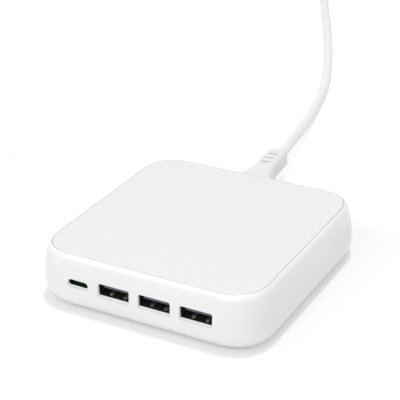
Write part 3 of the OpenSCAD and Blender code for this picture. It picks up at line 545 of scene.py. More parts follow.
def liner(centre_x, outer, inner, lift, front, sill=0.0):
    """A socket's lining: back through the window, in along its own end and forward again inside. Its front
    edge is flat, and below the opening it slopes out to the housing's face by the share sill. With it comes
    1 for each point of the pale outside and 0 for each of the inside, which is near-black painted shade
    standing in for the shell's steel walls in shadow."""
    outside = np.array([centre_x, PORT_Z])
    inside = outside + [0.0, lift]
    lining, opening = outside + socket_line(outer), inside + socket_line(inner)
    low = sill * np.clip((-SILL_TOP - socket_line(outer)[:, 1]) / SILL_TOP, 0, 1)
    lip = front - SILL_REACH * low
    sheet = carried([
        (outside + socket_line(outer, -0.02), lip + 0.12),
        (lining, lip + 0.3),
        (lining, PORT_FRONT - 0.1),
        (lining, SOCKET_BACK),
        (opening, SOCKET_BACK),
        (opening, front + 0.7),
        (opening, front + 0.12),
        (inside + socket_line(inner, 0.04), front + 0.03),
        (inside + socket_line(inner, 0.1), front),
        (outside + socket_line(outer, -0.1), lip),
        (outside + socket_line(outer, -0.02), lip + 0.12),
    ])
    pale = np.array([1, 1, 1, 1, 0, 0, 0, 1, 1, 1, 1.0])
    return [sheet], in_three(np.repeat(pale, sheet[0].shape[1]))


def tongue_sheets(centre_x):
    """The blade that carries the contacts and the block at its root: two round-edged rectangles, one after
    the other, closed at both ends."""
    front, root, back = PORT_FRONT + 0.62, PORT_FRONT + 10.0, PORT_FRONT + 13.9
    blade_middle = np.array([centre_x, PORT_Z + BLADE_RISE])
    block_middle = np.array([centre_x, PORT_Z + ROOT_RISE])
    blade, block = socket_line(BLADE), socket_line(ROOT_BLOCK)
    return [carried([
        (blade_middle + blade * 0, front),
        (blade_middle + blade * [0.97, 0.82], front),
        (blade_middle + blade * [0.99, 0.95], front + 0.06),
        (blade_middle + blade, front + 0.18),
        (blade_middle + blade, root),
        (block_middle + block, root),
        (block_middle + block, back),
        (block_middle + block * 0, back),
    ])]


def spring_sheets(centre_x):
    """Two sprung tabs on the shell's floor: a round tip that rises as a quarter sine to its crest and falls
    back to the root, domed across."""
    tip, crest, root = PORT_FRONT + 0.05, PORT_FRONT + 2.0, PORT_FRONT + 9.5
    rising = tip + (crest - tip) * (1 - np.cos(np.linspace(0, QUARTER, 15)))
    y = np.concatenate([rising, np.linspace(crest, root, 12)[1:]])
    half = np.sqrt(1 - np.clip(1 - (y - tip) / SPRING_TIP_R, 0, 1) ** 2)[:, None] * SPRING_HALF_W
    up = np.sin(np.clip((y - tip) / (crest - tip), 0, 1) * QUARTER)
    rise = np.where(y < crest, up, (root - y) / (root - crest))[:, None]
    across = np.linspace(-1, 1, 13)[None]
    x = half * across
    z = PORT_Z - SPRING_FLOOR + SPRING_LIFT + SPRING_RISE * rise * (1 - SPRING_DOME * across**2)
    over = np.stack([x, np.broadcast_to(y[:, None], x.shape), z], -1)
    grid = np.concatenate([over, over[:, ::-1] - [0.0, 0.0, SPRING_T]], 1)
    tab = capped_sheet(grid, (grid[0].mean(0), grid[-1].mean(0)))
    return [moved(tab, centre_x + side, 0.0) for side in SPRING_XS]


# Connector

def to_connector(points):
    """From the connector's own frame, turned level about its pivot in the inlet, to the housing's."""
    c, s = math.cos(TURN), math.sin(TURN)
    x, y, z = points[..., 0], points[..., 1], points[..., 2]
    return np.stack([INLET_X + c * x - s * y, PIVOT_Y + s * x + c * y, INLET_Z + z], -1)


def grip_half(y):
    """Half width along the connector: a half cosine from the wide end to the narrow grip."""
    t = np.clip((y - GRIP_START) / (NECK_END - GRIP_START), 0, 1)
    return (GRIP_W + (WIDE_W - GRIP_W) * (1 + np.cos(np.pi * t)) / 2) / 2


def groove_depth(x, y):
    """Three slots across the grip, flat at the bottom, with a steep wall at each end."""
    depth = np.zeros_like(y)
    for start in GROOVES:
        from_start, to_end = y - start, start + GROOVE_L - y
        depth = np.maximum(depth, np.clip(np.minimum((from_start + 0.1) / 0.3, to_end / 0.15), 0, 1))
    return GROOVE_DEPTH * depth / (1 + np.exp((np.abs(x) - GROOVE_HALF_W) / 0.08))


def grip_sheet():
    """Sections |x/w|^4 + |z/h|^4 = 1 carried along the grip, with a round end at the lead and slots sunk in
    both faces. With it comes each point's share of the slots' depth."""
    end = np.linspace(0, QUARTER, 9)
    stations = np.concatenate([
        GRIP_START + np.array([0.0, 0.15, 0.35, 0.6]),
        np.linspace(GRIP_START + 1.6, GROOVES[0], 20),
        np.arange(*GROOVED),
        np.linspace(40.6, CONNECTOR_L - CONNECTOR_EDGE, 5)[:-1],
        CONNECTOR_L - CONNECTOR_EDGE + CONNECTOR_EDGE * np.sin(end),
    ])
    shrink = np.zeros(len(stations))
    shrink[:3] = 0.6, 0.25, 0.08
    shrink[-len(end) :] = CONNECTOR_EDGE * (1 - np.cos(end))
    angle = round_angles(120)
    c, s = np.cos(angle), np.sin(angle)
    w = (grip_half(stations) - shrink)[:, None]
    h = (GRIP_H / 2 - shrink)[:, None]
    x = w * np.sign(c) * np.abs(c) ** 0.5
    z = h * np.sign(s) * np.abs(s) ** 0.5
    y = np.broadcast_to(stations[:, None], x.shape)
    on_the_face = np.clip(np.abs(z) / h * 1.02, 0, 1) ** 12
    sunk = groove_depth(x, y) * on_the_face
    grid = np.stack([x, y, z - np.sign(z) * sunk], -1)
    points, faces = capped_sheet(grid, grid[[0, -1], 0] * [0, 1, 0])
    share = np.zeros(points.shape[:2])
    share[1:-1] = sunk / GROOVE_DEPTH
    return (to_connector(points), faces), share


def nose_sheet():
    """The nose in the inlet: two half discs with a narrower waist between them, closed at both ends."""
    half = NOSE_H / 2
    t = np.linspace(-QUARTER, QUARTER, 25)
    right = np.stack([NOSE_W / 2 - half + half * np.cos(t), half * np.sin(t)], -1)
    waist = np.array([[1.6, NOSE_H * 0.41], [0.0, NOSE_H * 0.4], [-1.6, NOSE_H * 0.41]])
    outline = np.concatenate([right, waist, -right, -waist])
    end = GRIP_START + 0.3
    depth = np.array([NOSE_START, NOSE_START, NOSE_START + 0.3, end, end])[:, None]
    size = np.array([0.0, 0.94, 1.0, 1.0, 0.0])[:, None]
    x, z = size * outline[:, 0], size * outline[:, 1]
    return closed_sheet(to_connector(np.stack([x, np.broadcast_to(depth, x.shape), z], -1)))


def connector_sheets():
    """The grip and the nose, with each point's share of the slots' depth for the painted shade in the
    slots, which is 0 on the nose.
    """
    grip, share = grip_sheet()
    nose = nose_sheet()
    painted_slot_shade = np.concatenate([share.ravel(), np.zeros(nose[0][..., 0].size)])
    return [grip, nose], in_three(painted_slot_shade)


# Lead, coil, tie and plug

def smooth_path(points, step):
    """A smooth curve through points, cubic between each two with the slope of their neighbours, then even
    steps along it."""
    legs = np.diff(points, axis=0)
    chord = np.linalg.norm(legs, axis=1)
    near = np.concatenate([chord[:1], chord])[:, None]
    far = np.concatenate([chord, chord[-1:]])[:, None]
    ahead = np.concatenate([legs, legs[-1:]]) / far
    behind = np.concatenate([legs[:1], legs]) / near
    slope = (ahead * near + behind * far) / (near + far)
    t = np.linspace(0, 1, 9)[:-1][None, :, None]
    p0, p1 = points[:-1, None], points[1:, None]
    m0, m1 = slope[:-1, None] * chord[:, None, None], slope[1:, None] * chord[:, None, None]
    dense = (
        (2 * t**3 - 3 * t**2 + 1) * p0 + (t**3 - 2 * t**2 + t) * m0
        + (3 * t**2 - 2 * t**3) * p1 + (t**3 - t**2) * m1
    )
    dense = np.concatenate([dense.reshape(-1, 3), points[-1:]])
    run = np.concatenate([[0], np.cumsum(np.linalg.norm(np.diff(dense, axis=0), axis=1))])
    even = np.linspace(0, run[-1], int(round(run[-1] / step)) + 1)
    return np.stack([np.interp(even, run, dense[:, k]) for k in range(3)], -1)


def coil_points():
    """Two flat spirals, one on the other: the radius falls evenly to the innermost turn and grows again,
    and the height steps up one diameter between them."""
    u = np.arange(0, 1.0001, 1 / (COIL_TURNS * 24))
    angle = COIL_ENTRY - u * COIL_TURNS * 2 * np.pi
    radius = COIL_R_IN + (COIL_R_OUT - COIL_R_IN) * np.abs(1 - 2 * u)
    ramp = np.clip((u - 0.47) / 0.06, 0, 1)
    z = TIE_T * MM + LEAD_D / 2 + LEAD_D * ramp * ramp * (3 - 2 * ramp)
    return np.stack([COIL[0] + radius * np.cos(angle), COIL[1] + radius * np.sin(angle), z], -1)


def lead_path():
    """The whole lead in metres: from inside the connector, along the route, round the coil and into the
    plug. Up to the coil each point is the weighted mean of its neighbours within 12 mm, without kinks."""
    start = [to_connector(np.array([0.0, CONNECTOR_L - inside, 0.0])) * MM for inside in (2.0, 0.0)]
    tail = [[TAIL_X + along, TAIL_Y, PLUG_Z * MM + up] for along, up in TAIL_DROP]
    tail += [[PLUG_X + along, TAIL_Y, PLUG_Z * MM] for along in (0.0, 0.003)]
    sharp = smooth_path(np.concatenate([start, LEAD_ROUTE, coil_points(), tail]), PATH_STEP)
    weight = np.hanning(EASED_POINTS)
    weight /= weight.sum()
    beyond = EASED_POINTS // 2
    padded = np.concatenate([np.repeat(sharp[:1], beyond, 0), sharp, np.repeat(sharp[-1:], beyond, 0)])
    eased = np.stack([np.convolve(padded[:, k], weight, "valid") for k in range(3)], -1)
    to_coil = np.linalg.norm(sharp[:, :2] - np.array(COIL), axis=1)
    first_in_coil = np.argmax(to_coil < COIL_R_OUT + 0.004)
    count = np.arange(len(sharp))
    share = np.clip((count - 2) / 6, 0, 1) * np.clip((first_in_coil - count) / 12, 0, 1)
    return sharp + share[:, None] * (eased - sharp)


def tube(path, radius):
    """A round profile carried along a path in metres: centre plus radius times (cosine x side + sine x up),
    closed at both ends. With it comes each point's place on the jacket: round it, and along it."""
    step = np.gradient(path, axis=0)
    step /= np.linalg.norm(step, axis=1)[:, None]
    side = np.cross(step, [0, 0, 1.0])
    side /= np.linalg.norm(side, axis=1)[:, None]
    up = np.cross(side, step)
    angle = round_angles(LEAD_SIDES)
    c, s = np.cos(angle)[None, :, None], np.sin(angle)[None, :, None]
    rings = path[:, None] + radius * (c * side[:, None] + s * up[:, None])
    points, faces = capped_sheet(rings, path[[0, -1]])
    run = np.linspace(0, len(path) * PATH_STEP, len(path))
    run = np.concatenate([run[:1], run, run[-1:]])[:, None]
    on_the_jacket = (np.cos(angle) * radius, np.sin(angle) * radius, run)
    jacket = np.stack([np.broadcast_to(values, points.shape[:2]) for values in on_the_jacket], -1)
    return [(points / MM, faces)], jacket.reshape(-1, 3)


def tie_sheets():
    """A flat strap: a band's section carried round the coil's own, a rectangle with round corners, and laid
    along the coil's circle by its cosine and sine."""
    w = (COIL_R_OUT - COIL_R_IN) / MM / 2 + LEAD_D / MM / 2
    h = LEAD_D / MM
    r = LEAD_D / MM / 2
    line = []
    for quarter, (sx, sy) in enumerate(((1, 1), (-1, 1), (-1, -1), (1, -1))):
        a = np.linspace(0, QUARTER, 9) + quarter * QUARTER
        c, s = np.cos(a), np.sin(a)
        line.append(np.stack([sx * (w - r) + c * r, sy * (h - r) + s * r, c, s]))
    x, y, out_x, out_y = (values[:, None] for values in np.concatenate(line, 1))
    half = [[0.25, 0.5], [TIE_T - 0.12, 0.48], [TIE_T, 0.44], [TIE_T, 0.3], [TIE_T - 0.1, 0.27]]
    other_half = [[up, -across] for up, across in half[::-1]]
    section = np.array([[0.02, -0.5], [0.02, 0.5], *half, *other_half])
    radius = (COIL_R_OUT + COIL_R_IN) / MM / 2
    angle = TIE_W / radius * section[:, 1]
    radial = radius + (x + out_x * section[:, 0])
    height = y + out_y * section[:, 0]
    points = np.stack([
        COIL[0] / MM + radial * np.cos(angle), COIL[1] / MM + radial * np.sin(angle), TIE_T + h + height
    ], -1)
    return [closed_sheet(np.concatenate([points, points[:1]]))]


def at_plug(sheet, along=0.0, side=0.0):
    """A sheet that runs up the z axis laid along the plug, this far along it and to its side."""
    points, faces = sheet
    return moved((points[..., [2, 0, 1]], faces), PLUG_X / MM + along, TAIL_Y / MM + side, PLUG_Z)


def plug_ring(x, angle):
    """A flattened hexagon with soft corners at a place along the plug: the direction over the p-norm of the
    distances to its sides, p from 2 to 10."""
    t = ((1 - np.cos(np.pi * np.clip(x / PLUG_FULL, 0, 1))) / 2)[:, None]
    w = (RELIEF_D + (PLUG_W - RELIEF_D) * t) / 2
    h = (RELIEF_D + (PLUG_H - RELIEF_D) * t) / 2
    p = 2 + 8 * t
    c, s = np.cos(angle)[None], np.sin(angle)[None]
    u = np.abs(c) + 0.5 * t * h / w * np.abs(s)
    d = (np.abs(s) ** p + u**p) ** (1 / p)
    return np.stack([np.broadcast_to(x[:, None], d.shape), w * c / d, h * s / d], -1)


def plug_body_sheet():
    """The plug's body, lofted from the strain relief to the flat face with its round edge."""
    a = np.linspace(0, QUARTER, 7)[1:]
    along = np.linspace(0, PLUG_L - PLUG_EDGE, 40)
    x = np.concatenate([along, PLUG_L - PLUG_EDGE + PLUG_EDGE * np.sin(a)])
    inward = np.concatenate([np.zeros(len(along)), PLUG_EDGE * (1 - np.cos(a))])[:, None]
    body = plug_ring(x, round_angles(96))
    body[..., 1] *= 1 - 2 * inward / PLUG_W
    body[..., 2] *= 1 - 2 * inward / PLUG_H
    sheet = capped_sheet(body, body[[0, -1], 0] * [1, 0, 0])
    return moved(moved(sheet, RELIEF_L, 0.0), PLUG_X / MM, TAIL_Y / MM, PLUG_Z)


def relief_sheet():
    """The strain relief: a cone with five grooves round it, revolved."""
    line = [(0.0, 0.0), (2.5, 0.0), (3.2, 0.0), (RELIEF_START_R, 0.25)]
    for k in range(1, RELIEF_RINGS + 1):
        at = k * RELIEF_L / (RELIEF_RINGS + 1)
        outer = RELIEF_START_R + (RELIEF_D / 2 - RELIEF_START_R) * at / RELIEF_L
        inner = LEAD_D / MM / 2 + 0.3 + k * 0.175
        line += [(outer, at - 0.15), (outer - 0.12, at), (inner, at + 0.08), (inner, at + 1.12)]
        line += [(outer - 0.08, at + 1.2), (outer + 0.06, at + 1.35)]
    line += [(RELIEF_D / 2, RELIEF_L), (RELIEF_D / 2, RELIEF_L + 0.5), (0.0, RELIEF_L + 0.5)]
    return at_plug(revolved(line, 64))


def on_both_pins(profile):
    """A revolved pin or sleeve, laid along each of the plug's two pins."""
    sheet = revolved(profile, 48)
    return [at_plug(sheet, RELIEF_L + PLUG_L, side * PIN_PITCH / 2) for side in (-1, 1)]


def pin_sheets():
    """Each pin's bare end, a cylinder with a round tip, and its core in the sleeve and the plug."""
    r, core, root = PIN_D / 2, SLEEVE_BORE, 1.45
    line = [(0.0, -5.0), (root, -5.0), (root, 0.0), (core, 0.0), (core, SLEEVE_L)]
    line += [(r - 0.15, SLEEVE_L), (r, SLEEVE_L + 0.15)]
    for a in np.linspace(0, QUARTER, 8):
        line.append((r - PIN_TIP + PIN_TIP * math.cos(a), PIN_L - PIN_TIP + PIN_TIP * math.sin(a)))
    return on_both_pins(line + [(0.0, PIN_L)])


def sleeve_sheets():
    """The insulation on each pin: a tube with softened ends."""
    r, bore = SLEEVE_D / 2, SLEEVE_BORE
    return on_both_pins(
        [(bore, 0.0), (r, 0.0), (r, SLEEVE_L - 0.2), (r - 0.15, SLEEVE_L), (bore, SLEEVE_L), (bore, 0.0)]
    )


# Materials

FINISHES = {}


def wired(tree, kind, inputs):
    """A new node with plain values and other nodes' results on its inputs."""
    node = tree.nodes.new("ShaderNode" + kind)
    for socket, value in inputs.items():
        if isinstance(value, bpy.types.NodeSocket):
            tree.links.new(value, node.inputs[socket])
        else:
            node.inputs[socket].default_value = value
    return node


def maths(tree, operation, *values, clamp=False):
    """A math node's result."""
    node = wired(tree, "Math", dict(enumerate(values)))
    node.operation = operation
    node.use_clamp = clamp
    return node.outputs[0]


def ranged(tree, source, start, end, low, high, kind="LINEAR"):
    """A value carried from one range to another, and held at its ends."""
    limits = {"From Min": start, "From Max": end, "To Min": low, "To Max": high}
    node = wired(tree, "MapRange", {"Value": source, **limits})
    node.interpolation_type = kind
    return node.outputs["Result"]


class Finish:
    """A material's nodes, kept by its name, with short calls for the patterns that finishes share."""

    def __init__(self, name, colour, roughness, metallic=0.0, specular=0.5):
        material = bpy.data.materials.new(name)
        material.use_nodes = True
        FINISHES[name] = material
        self.tree = material.node_tree
        self.shader = self.tree.nodes["Principled BSDF"]
        self.set("Base Color", (*colour, 1.0))
        self.set("Roughness", roughness)
        self.set("Metallic", metallic)
        self.set("Specular IOR Level", specular)
        self.place = self.tree.nodes.new("ShaderNodeTexCoord").outputs["Object"]

    def set(self, socket, value):
        self.shader.inputs[socket].default_value = value

    def link(self, source, target):
        self.tree.links.new(source, target)

    def surface(self):
        node = self.tree.nodes.new("ShaderNodeAttribute")
        node.attribute_name = "surface"
        return node.outputs["Vector"]

    def stretched(self, source, scale):
        return wired(self.tree, "Mapping", {"Vector": source, "Scale": scale}).outputs["Vector"]

    def noise(self, scale, detail=3.0, place=None):
        inputs = {"Vector": place or self.place, "Scale": scale, "Detail": detail}
        return wired(self.tree, "TexNoise", inputs).outputs["Fac"]

    def cells(self, scale, place=None):
        inputs = {"Vector": place or self.place, "Scale": scale}
        return wired(self.tree, "TexVoronoi", inputs).outputs["Distance"]

    def ramp(self, source, stops):
        node = wired(self.tree, "ValToRGB", {"Fac": source})
        elements = node.color_ramp.elements
        while len(elements) < len(stops):
            elements.new(0.5)
        for element, (at, colour) in zip(elements, stops):
            element.position = at
            element.color = (*colour, 1.0)
        return node.outputs["Color"]

    def bump(self, height, strength, distance):
        inputs = {"Height": height, "Strength": strength, "Distance": distance}
        node = wired(self.tree, "Bump", inputs)
        for previous in self.shader.inputs["Normal"].links:
            self.link(previous.from_socket, node.inputs["Normal"])
        self.link(node.outputs["Normal"], self.shader.inputs["Normal"])

    def shades(self, source, stops):
        """Base colour read from a ramp of tones."""
        self.link(self.ramp(source, stops), self.shader.inputs["Base Color"])

    def tint(self, source, low, high, start=0.3, end=0.7):
        """Base colour that drifts between two near tones with a pattern."""
        self.shades(source, [(start, low), (end, high)])

    def polish(self, source, low, high, start=0.3, end=0.7):
        """Roughness that drifts between two values with a pattern."""
        self.link(ranged(self.tree, source, start, end, low, high), self.shader.inputs["Roughness"])


def tone(value):
    """A neutral colour."""
    return (value, value, value)


def scaled(colour, factor):
    """A colour made lighter or darker."""
    return tuple(min(1.0, part * factor) for part in colour)


def moulding(name, value, roughness, grain, depth, specular=0.5):
    """White moulded plastic: two near tones, a fine grain and a roughness that varies a little."""
    f = Finish(name, tone(value), roughness, specular=specular)
    f.tint(f.noise(45.0, 4.0), tone(value * 0.985), tone(value * 1.01))
    f.polish(f.noise(160.0), roughness * 0.88, roughness * 1.12)
    f.bump(f.noise(grain, 2.0), 0.25, depth)
    return f


def make_housing_gloss():
    """Polished moulding, with the slow waviness of a thick wall under its grain."""
    f = moulding("housing_gloss", 0.88, 0.2, 900.0, 0.00002)
    f.bump(f.noise(60.0, 1.0), 0.12, 0.0002)


def make_lid_satin():
    """Finely textured moulding: a speckle in its tone and small cells in its bump."""
    f = Finish("lid_satin", tone(0.79), 0.55, specular=0.35)
    f.tint(f.noise(700.0, 2.0), tone(0.775), tone(0.805), 0.35, 0.65)
    f.polish(f.noise(120.0), 0.5, 0.6)
    f.bump(f.cells(1600.0), 0.12, 0.00002)


def make_foot_rubber():
    """Pale rubber with a dry, uneven surface."""
    f = Finish("foot_rubber", tone(0.5), 0.75, specular=0.3)
    f.tint(f.noise(300.0), tone(0.45), tone(0.52))
    f.bump(f.noise(1500.0, 4.0), 0.4, 0.00005)


def make_connector_plastic():
    """Satin moulding with painted shade darkening it down in the slots."""
    f = moulding("connector_plastic", 0.79, 0.42, 1400.0, 0.00003, specular=0.4)
    mottle = ranged(f.tree, f.noise(45.0, 4.0), 0.3, 0.7, 0.0, 0.08)
    painted_slot_shade = maths(f.tree, "ADD", f.surface(), mottle)
    # Random mottle moves between the first two tones, then painted shade darkens towards the slots' floors
    f.shades(painted_slot_shade, [(0.0, tone(0.797)), (0.08, tone(0.778)), (0.9, tone(0.67))])


def make_lead_jacket():
    """Smooth flexible jacket: its patterns are drawn out along the lead."""
    f = Finish("lead_jacket", tone(0.86), 0.4, specular=0.4)
    jacket = f.surface()
    f.tint(f.noise(1.0, 3.0, f.stretched(jacket, (900, 900, 60))), tone(0.845), tone(0.87))
    f.polish(f.noise(1.0, 3.0, f.stretched(jacket, (400, 400, 40))), 0.36, 0.46)
    f.bump(f.noise(1.0, 2.0, f.stretched(jacket, (2500, 2500, 250))), 0.2, 0.00003)


def make_tie_plastic():
    """Soft white strap with a fine grain."""
    f = Finish("tie_plastic", tone(0.86), 0.5, specular=0.4)
    f.tint(f.noise(400.0), tone(0.84), tone(0.87))
    f.bump(f.noise(2500.0, 3.0), 0.3, 0.00003)


def metal(name, colour, roughness, streak, scale=(60, 2500, 2500)):
    """Drawn or rolled metal: streaks along its length in roughness and bump, over a slow drift of tone."""
    f = Finish(name, colour, roughness, metallic=1.0)
    lines = f.noise(1.0, 4.0, f.stretched(f.place, scale))
    f.tint(lines, scaled(colour, 1 - streak), colour, 0.35, 0.65)
    f.polish(lines, roughness * 0.8, roughness * 1.3)
    f.bump(lines, 0.12, 0.00002)


def make_board_laminate():
    """Solder mask with the raised lines of its tracks and the pads between them."""
    f = Finish("board_laminate", (0.02, 0.16, 0.07), 0.35)
    tracks = f.cells(320.0, f.stretched(f.place, (1.0, 1.0, 0.2)))
    f.tint(tracks, (0.015, 0.12, 0.05), (0.03, 0.2, 0.09), 0.4, 0.45)
    f.polish(f.noise(200.0), 0.3, 0.42)
    f.bump(ranged(f.tree, tracks, 0.4, 0.45, 0.0, 1.0), 0.4, 0.00004)


def dark_plastic(name, colour, roughness=0.5):
    """Glass-filled plastic: short pale fibres in the tone and a dry, uneven surface."""
    f = Finish(name, colour, roughness, specular=0.4)
    fibres = f.cells(1800.0, f.stretched(f.place, (1.0, 0.3, 1.0)))
    f.tint(fibres, scaled(colour, 1.25), colour, 0.0, 0.25)
    f.polish(f.noise(300.0), roughness * 0.85, roughness * 1.15)
    f.bump(f.noise(1600.0, 3.0), 0.3, 0.00003)


def make_ferrite():
    """Sintered ferrite: dark, grainy and slightly pitted."""
    f = Finish("ferrite", (0.05, 0.05, 0.055), 0.55, specular=0.4)
    f.tint(f.noise(900.0, 5.0), (0.04, 0.04, 0.045), (0.075, 0.075, 0.08), 0.4, 0.7)
    f.bump(f.noise(1200.0, 6.0), 0.5, 0.00006)


def make_winding_tape():
    """Yellow polyester tape: overlapping layers seen as fine rings up the winding."""
    f = Finish("winding_tape", (0.75, 0.5, 0.04), 0.35)
    rings = f.noise(1.0, 2.0, f.stretched(f.place, (40, 40, 1400)))
    f.tint(rings, (0.68, 0.42, 0.03), (0.8, 0.56, 0.06))
    f.bump(rings, 0.4, 0.00008)


def make_copper_wire():
    """Enamelled wire: even turns as narrow cells, with the dark line between neighbours."""
    f = Finish("copper_wire", (0.62, 0.2, 0.05), 0.25, metallic=0.85)
    turns = f.cells(900.0)
    f.tint(turns, (0.75, 0.28, 0.08), (0.2, 0.05, 0.015), 0.2, 0.6)
    f.bump(turns, 0.6, 0.00015)


def sleeve(name, colour):
    """Shrunk sleeve on a can: a faint stretch along it and a soft gloss."""
    f = Finish(name, colour, 0.32)
    stretch = f.noise(1.0, 3.0, f.stretched(f.place, (300, 60, 300)))
    f.tint(stretch, scaled(colour, 0.85), scaled(colour, 1.2))
    f.polish(stretch, 0.28, 0.4)
    f.bump(stretch, 0.15, 0.00004)


def make_port_liner():
    """White plastic round a socket's front edge and, on the inside behind it, near-black painted shade, by
    the piece's values.
    """
    f = Finish("port_liner", tone(0.02), 0.5, specular=0.3)
    # The near-black stop is painted shade in place of the shell's steel, the pale stop the white plastic
    f.shades(f.surface(), [(0.35, tone(0.018)), (0.65, (0.88, 0.88, 0.87))])
    f.polish(f.noise(400.0), 0.42, 0.58)
    f.bump(f.noise(1500.0, 3.0), 0.15, 0.00002)


LENGTHWISE = (2500, 60, 2500)
make_housing_gloss()
make_lid_satin()
make_foot_rubber()
make_board_laminate()
metal("screw_steel", (0.6, 0.6, 0.62), 0.35, 0.15)
metal("shell_steel", (0.42, 0.38, 0.33), 0.34, 0.12, LENGTHWISE)
dark_plastic("tongue_plastic", (0.135, 0.135, 0.165))
dark_plastic("usb_c_tongue_plastic", (0.06, 0.34, 0.09))
metal("contact_gold", (0.75, 0.5, 0.2), 0.25, 0.15, LENGTHWISE)
moulding("inlet_plastic", 0.84, 0.4, 1200.0, 0.00003)
metal("pin_nickel", (0.66, 0.64, 0.6), 0.22, 0.1)
make_ferrite()
dark_plastic("bobbin_plastic", (0.03, 0.03, 0.03))
make_winding_tape()
make_copper_wire()
sleeve("can_sleeve", (0.02, 0.022, 0.04))
metal("output_can", (0.62, 0.62, 0.64), 0.3, 0.12, (800, 800, 60))
sleeve("box_capacitor", (0.6, 0.36, 0.03))
dark_plastic("black_epoxy", (0.015, 0.015, 0.016), 0.6)
metal("sink_aluminium", (0.68, 0.68, 0.7), 0.38, 0.15, LENGTHWISE)
make_connector_plastic()
make_lead_jacket()
make_tie_plastic()
make_port_liner()
metal("spring_nickel", (0.68, 0.6, 0.52), 0.3, 0.1, (900, 200, 900))
for part in frame["record"]["subparts"]:
    node = frame["nodes"][part["node"]]
    node.data.materials.clear()
    node.data.materials.append(FINISHES[part["material_slot"]])

# The lead first, then the pieces on it
path = lead_path()
sheets, jacket = tube(path, LEAD_D / 2)
lead = piece("lead", sheets, "lead_jacket", ("mains_lead", "lead_coil", "lead_tail"), surface=jacket)
sheets, painted_slot_shade = connector_sheets()
connector = piece("connector", sheets, "connector_plastic", ("connector_body",), surface=painted_slot_shade)
tie = piece("tie", tie_sheets(), "tie_plastic", ("coil_tie",))
plug = piece("plug", [plug_body_sheet(), relief_sheet()], "connector_plastic", ("plug_body",))
pins = piece("pins", pin_sheets(), "pin_nickel", ("plug_pins",))
sleeves = piece("sleeves", sleeve_sheets(), "connector_plastic", ("pin_sleeves",))

piece("shell", housing_sheets(), "housing_gloss", ("housing",), crease=50.0)
piece("top_panel", lid_sheets(), "lid_satin", ("lid",), crease=50.0)
FEET = {"front_left": (-1, -1), "front_right": (1, -1), "rear_left": (-1, 1), "rear_right": (1, 1)}
for name, (x, y) in FEET.items():
    foot = foot_sheets(x * (BODY_W / 2 - FOOT_IN), y * (BODY_D / 2 - FOOT_IN))
    piece("pad_" + name, foot, "foot_rubber", ("foot_" + name,))

# Each socket's liner takes its shell's place, with its inside as near-black painted shade rather than steel
for k, x in enumerate(PORT_XS, 1):
    shell = (f"usb_a_shell_{k}",)
    sheets, pale = liner(x, USB_A_LINING, USB_A_OPENING, 0.32, PORT_FRONT - 1.15, sill=1.0)
    piece(f"usb_a_liner_{k}", sheets, "shell_steel", shell, "port_liner", surface=pale)
    piece(f"usb_a_springs_{k}", spring_sheets(x), "shell_steel", shell, "spring_nickel")
    piece(f"usb_a_blade_{k}", tongue_sheets(x), "tongue_plastic", (f"usb_a_tongue_{k}",))
sheets, pale = liner(USB_C_X, USB_C_LINING, USB_C_OPENING, 0.3, PORT_FRONT - 1.2)
piece("usb_c_liner", sheets, "shell_steel", ("usb_c_shell",), "port_liner", surface=pale)


# Camera at the photograph's place

# Degrees round from the front, up and rolled, then metres, and the lens in millimetres
CAMERA_TURNS = (29.90, 26.79, -1.76)
CAMERA_TARGET = Vector((-0.01858, 0.03171, 0.01308))
CAMERA_DISTANCE = 0.51306
CAMERA_LENS = 110.78


def away_from_part(azimuth, elevation):
    """The direction from the part, turned round from the front and up, in radians."""
    level = math.cos(elevation)
    return Vector((math.sin(azimuth) * level, -math.cos(azimuth) * level, math.sin(elevation)))


def place_camera():
    """The camera looks back along its direction from the part, rolled a little."""
    azimuth, elevation, roll = (math.radians(v) for v in CAMERA_TURNS)
    back = away_from_part(azimuth, elevation)
    right = Vector((math.cos(azimuth), math.sin(azimuth), 0.0))
    up = back.cross(right)
    turned_right = right * math.cos(roll) + up * math.sin(roll)
    turned_up = up * math.cos(roll) - right * math.sin(roll)
    data = bpy.data.cameras.new("camera")
    data.sensor_width = 36.0
    data.lens = CAMERA_LENS
    data.clip_start = 0.02
    data.clip_end = 20.0
    camera = placed("camera", data)
    rows = [
        (r, u, b, target + b * CAMERA_DISTANCE)
        for r, u, b, target in zip(turned_right, turned_up, back, CAMERA_TARGET)
    ]
    camera.matrix_world = Matrix((*rows, (0, 0, 0, 1)))
    bpy.context.scene.camera = camera


# Studio

# Where each lamp stands as degrees round from the front and up, how far, its size in metres, and its
# brightness as a multiple of white
LAMPS = {
    "key": (-37.5, 38.0, 1.1, (0.22, 0.9), 1.8),
    "front": (4.0, 28.0, 1.2, (0.8, 0.5), 1.75),
    "back": (156.0, 84.0, 1.2, (0.14, 0.14), 72.0),
    "corner": (25.0, 50.0, 1.1, (0.12, 0.25), 7.8),
}
# How bright the white room is as a light, and the floor's tone as a light and as it is seen
ROOM = 0.61
FLOOR_TONE = 0.8
FLOOR_SEEN = 0.64
# How much the seen floor is lifted, from the first place along y in metres to the second; the higher lift
# behind the housing is painted light that pales the shadow of the connector and lead there
FLOOR_LIFT = 0.315
FLOOR_LIFT_BEHIND = 0.52
BEHIND = (0.055, 0.1)
# The lift fades out under the housing, between these two insets from its widest line in millimetres, which
# leaves painted shade on the floor beneath it as a dark contact line
PAINTED_SHADE_UNDER = (4.4, 6.4)
FLOOR_HALF = 6.0
FLOOR_Z = -0.00005


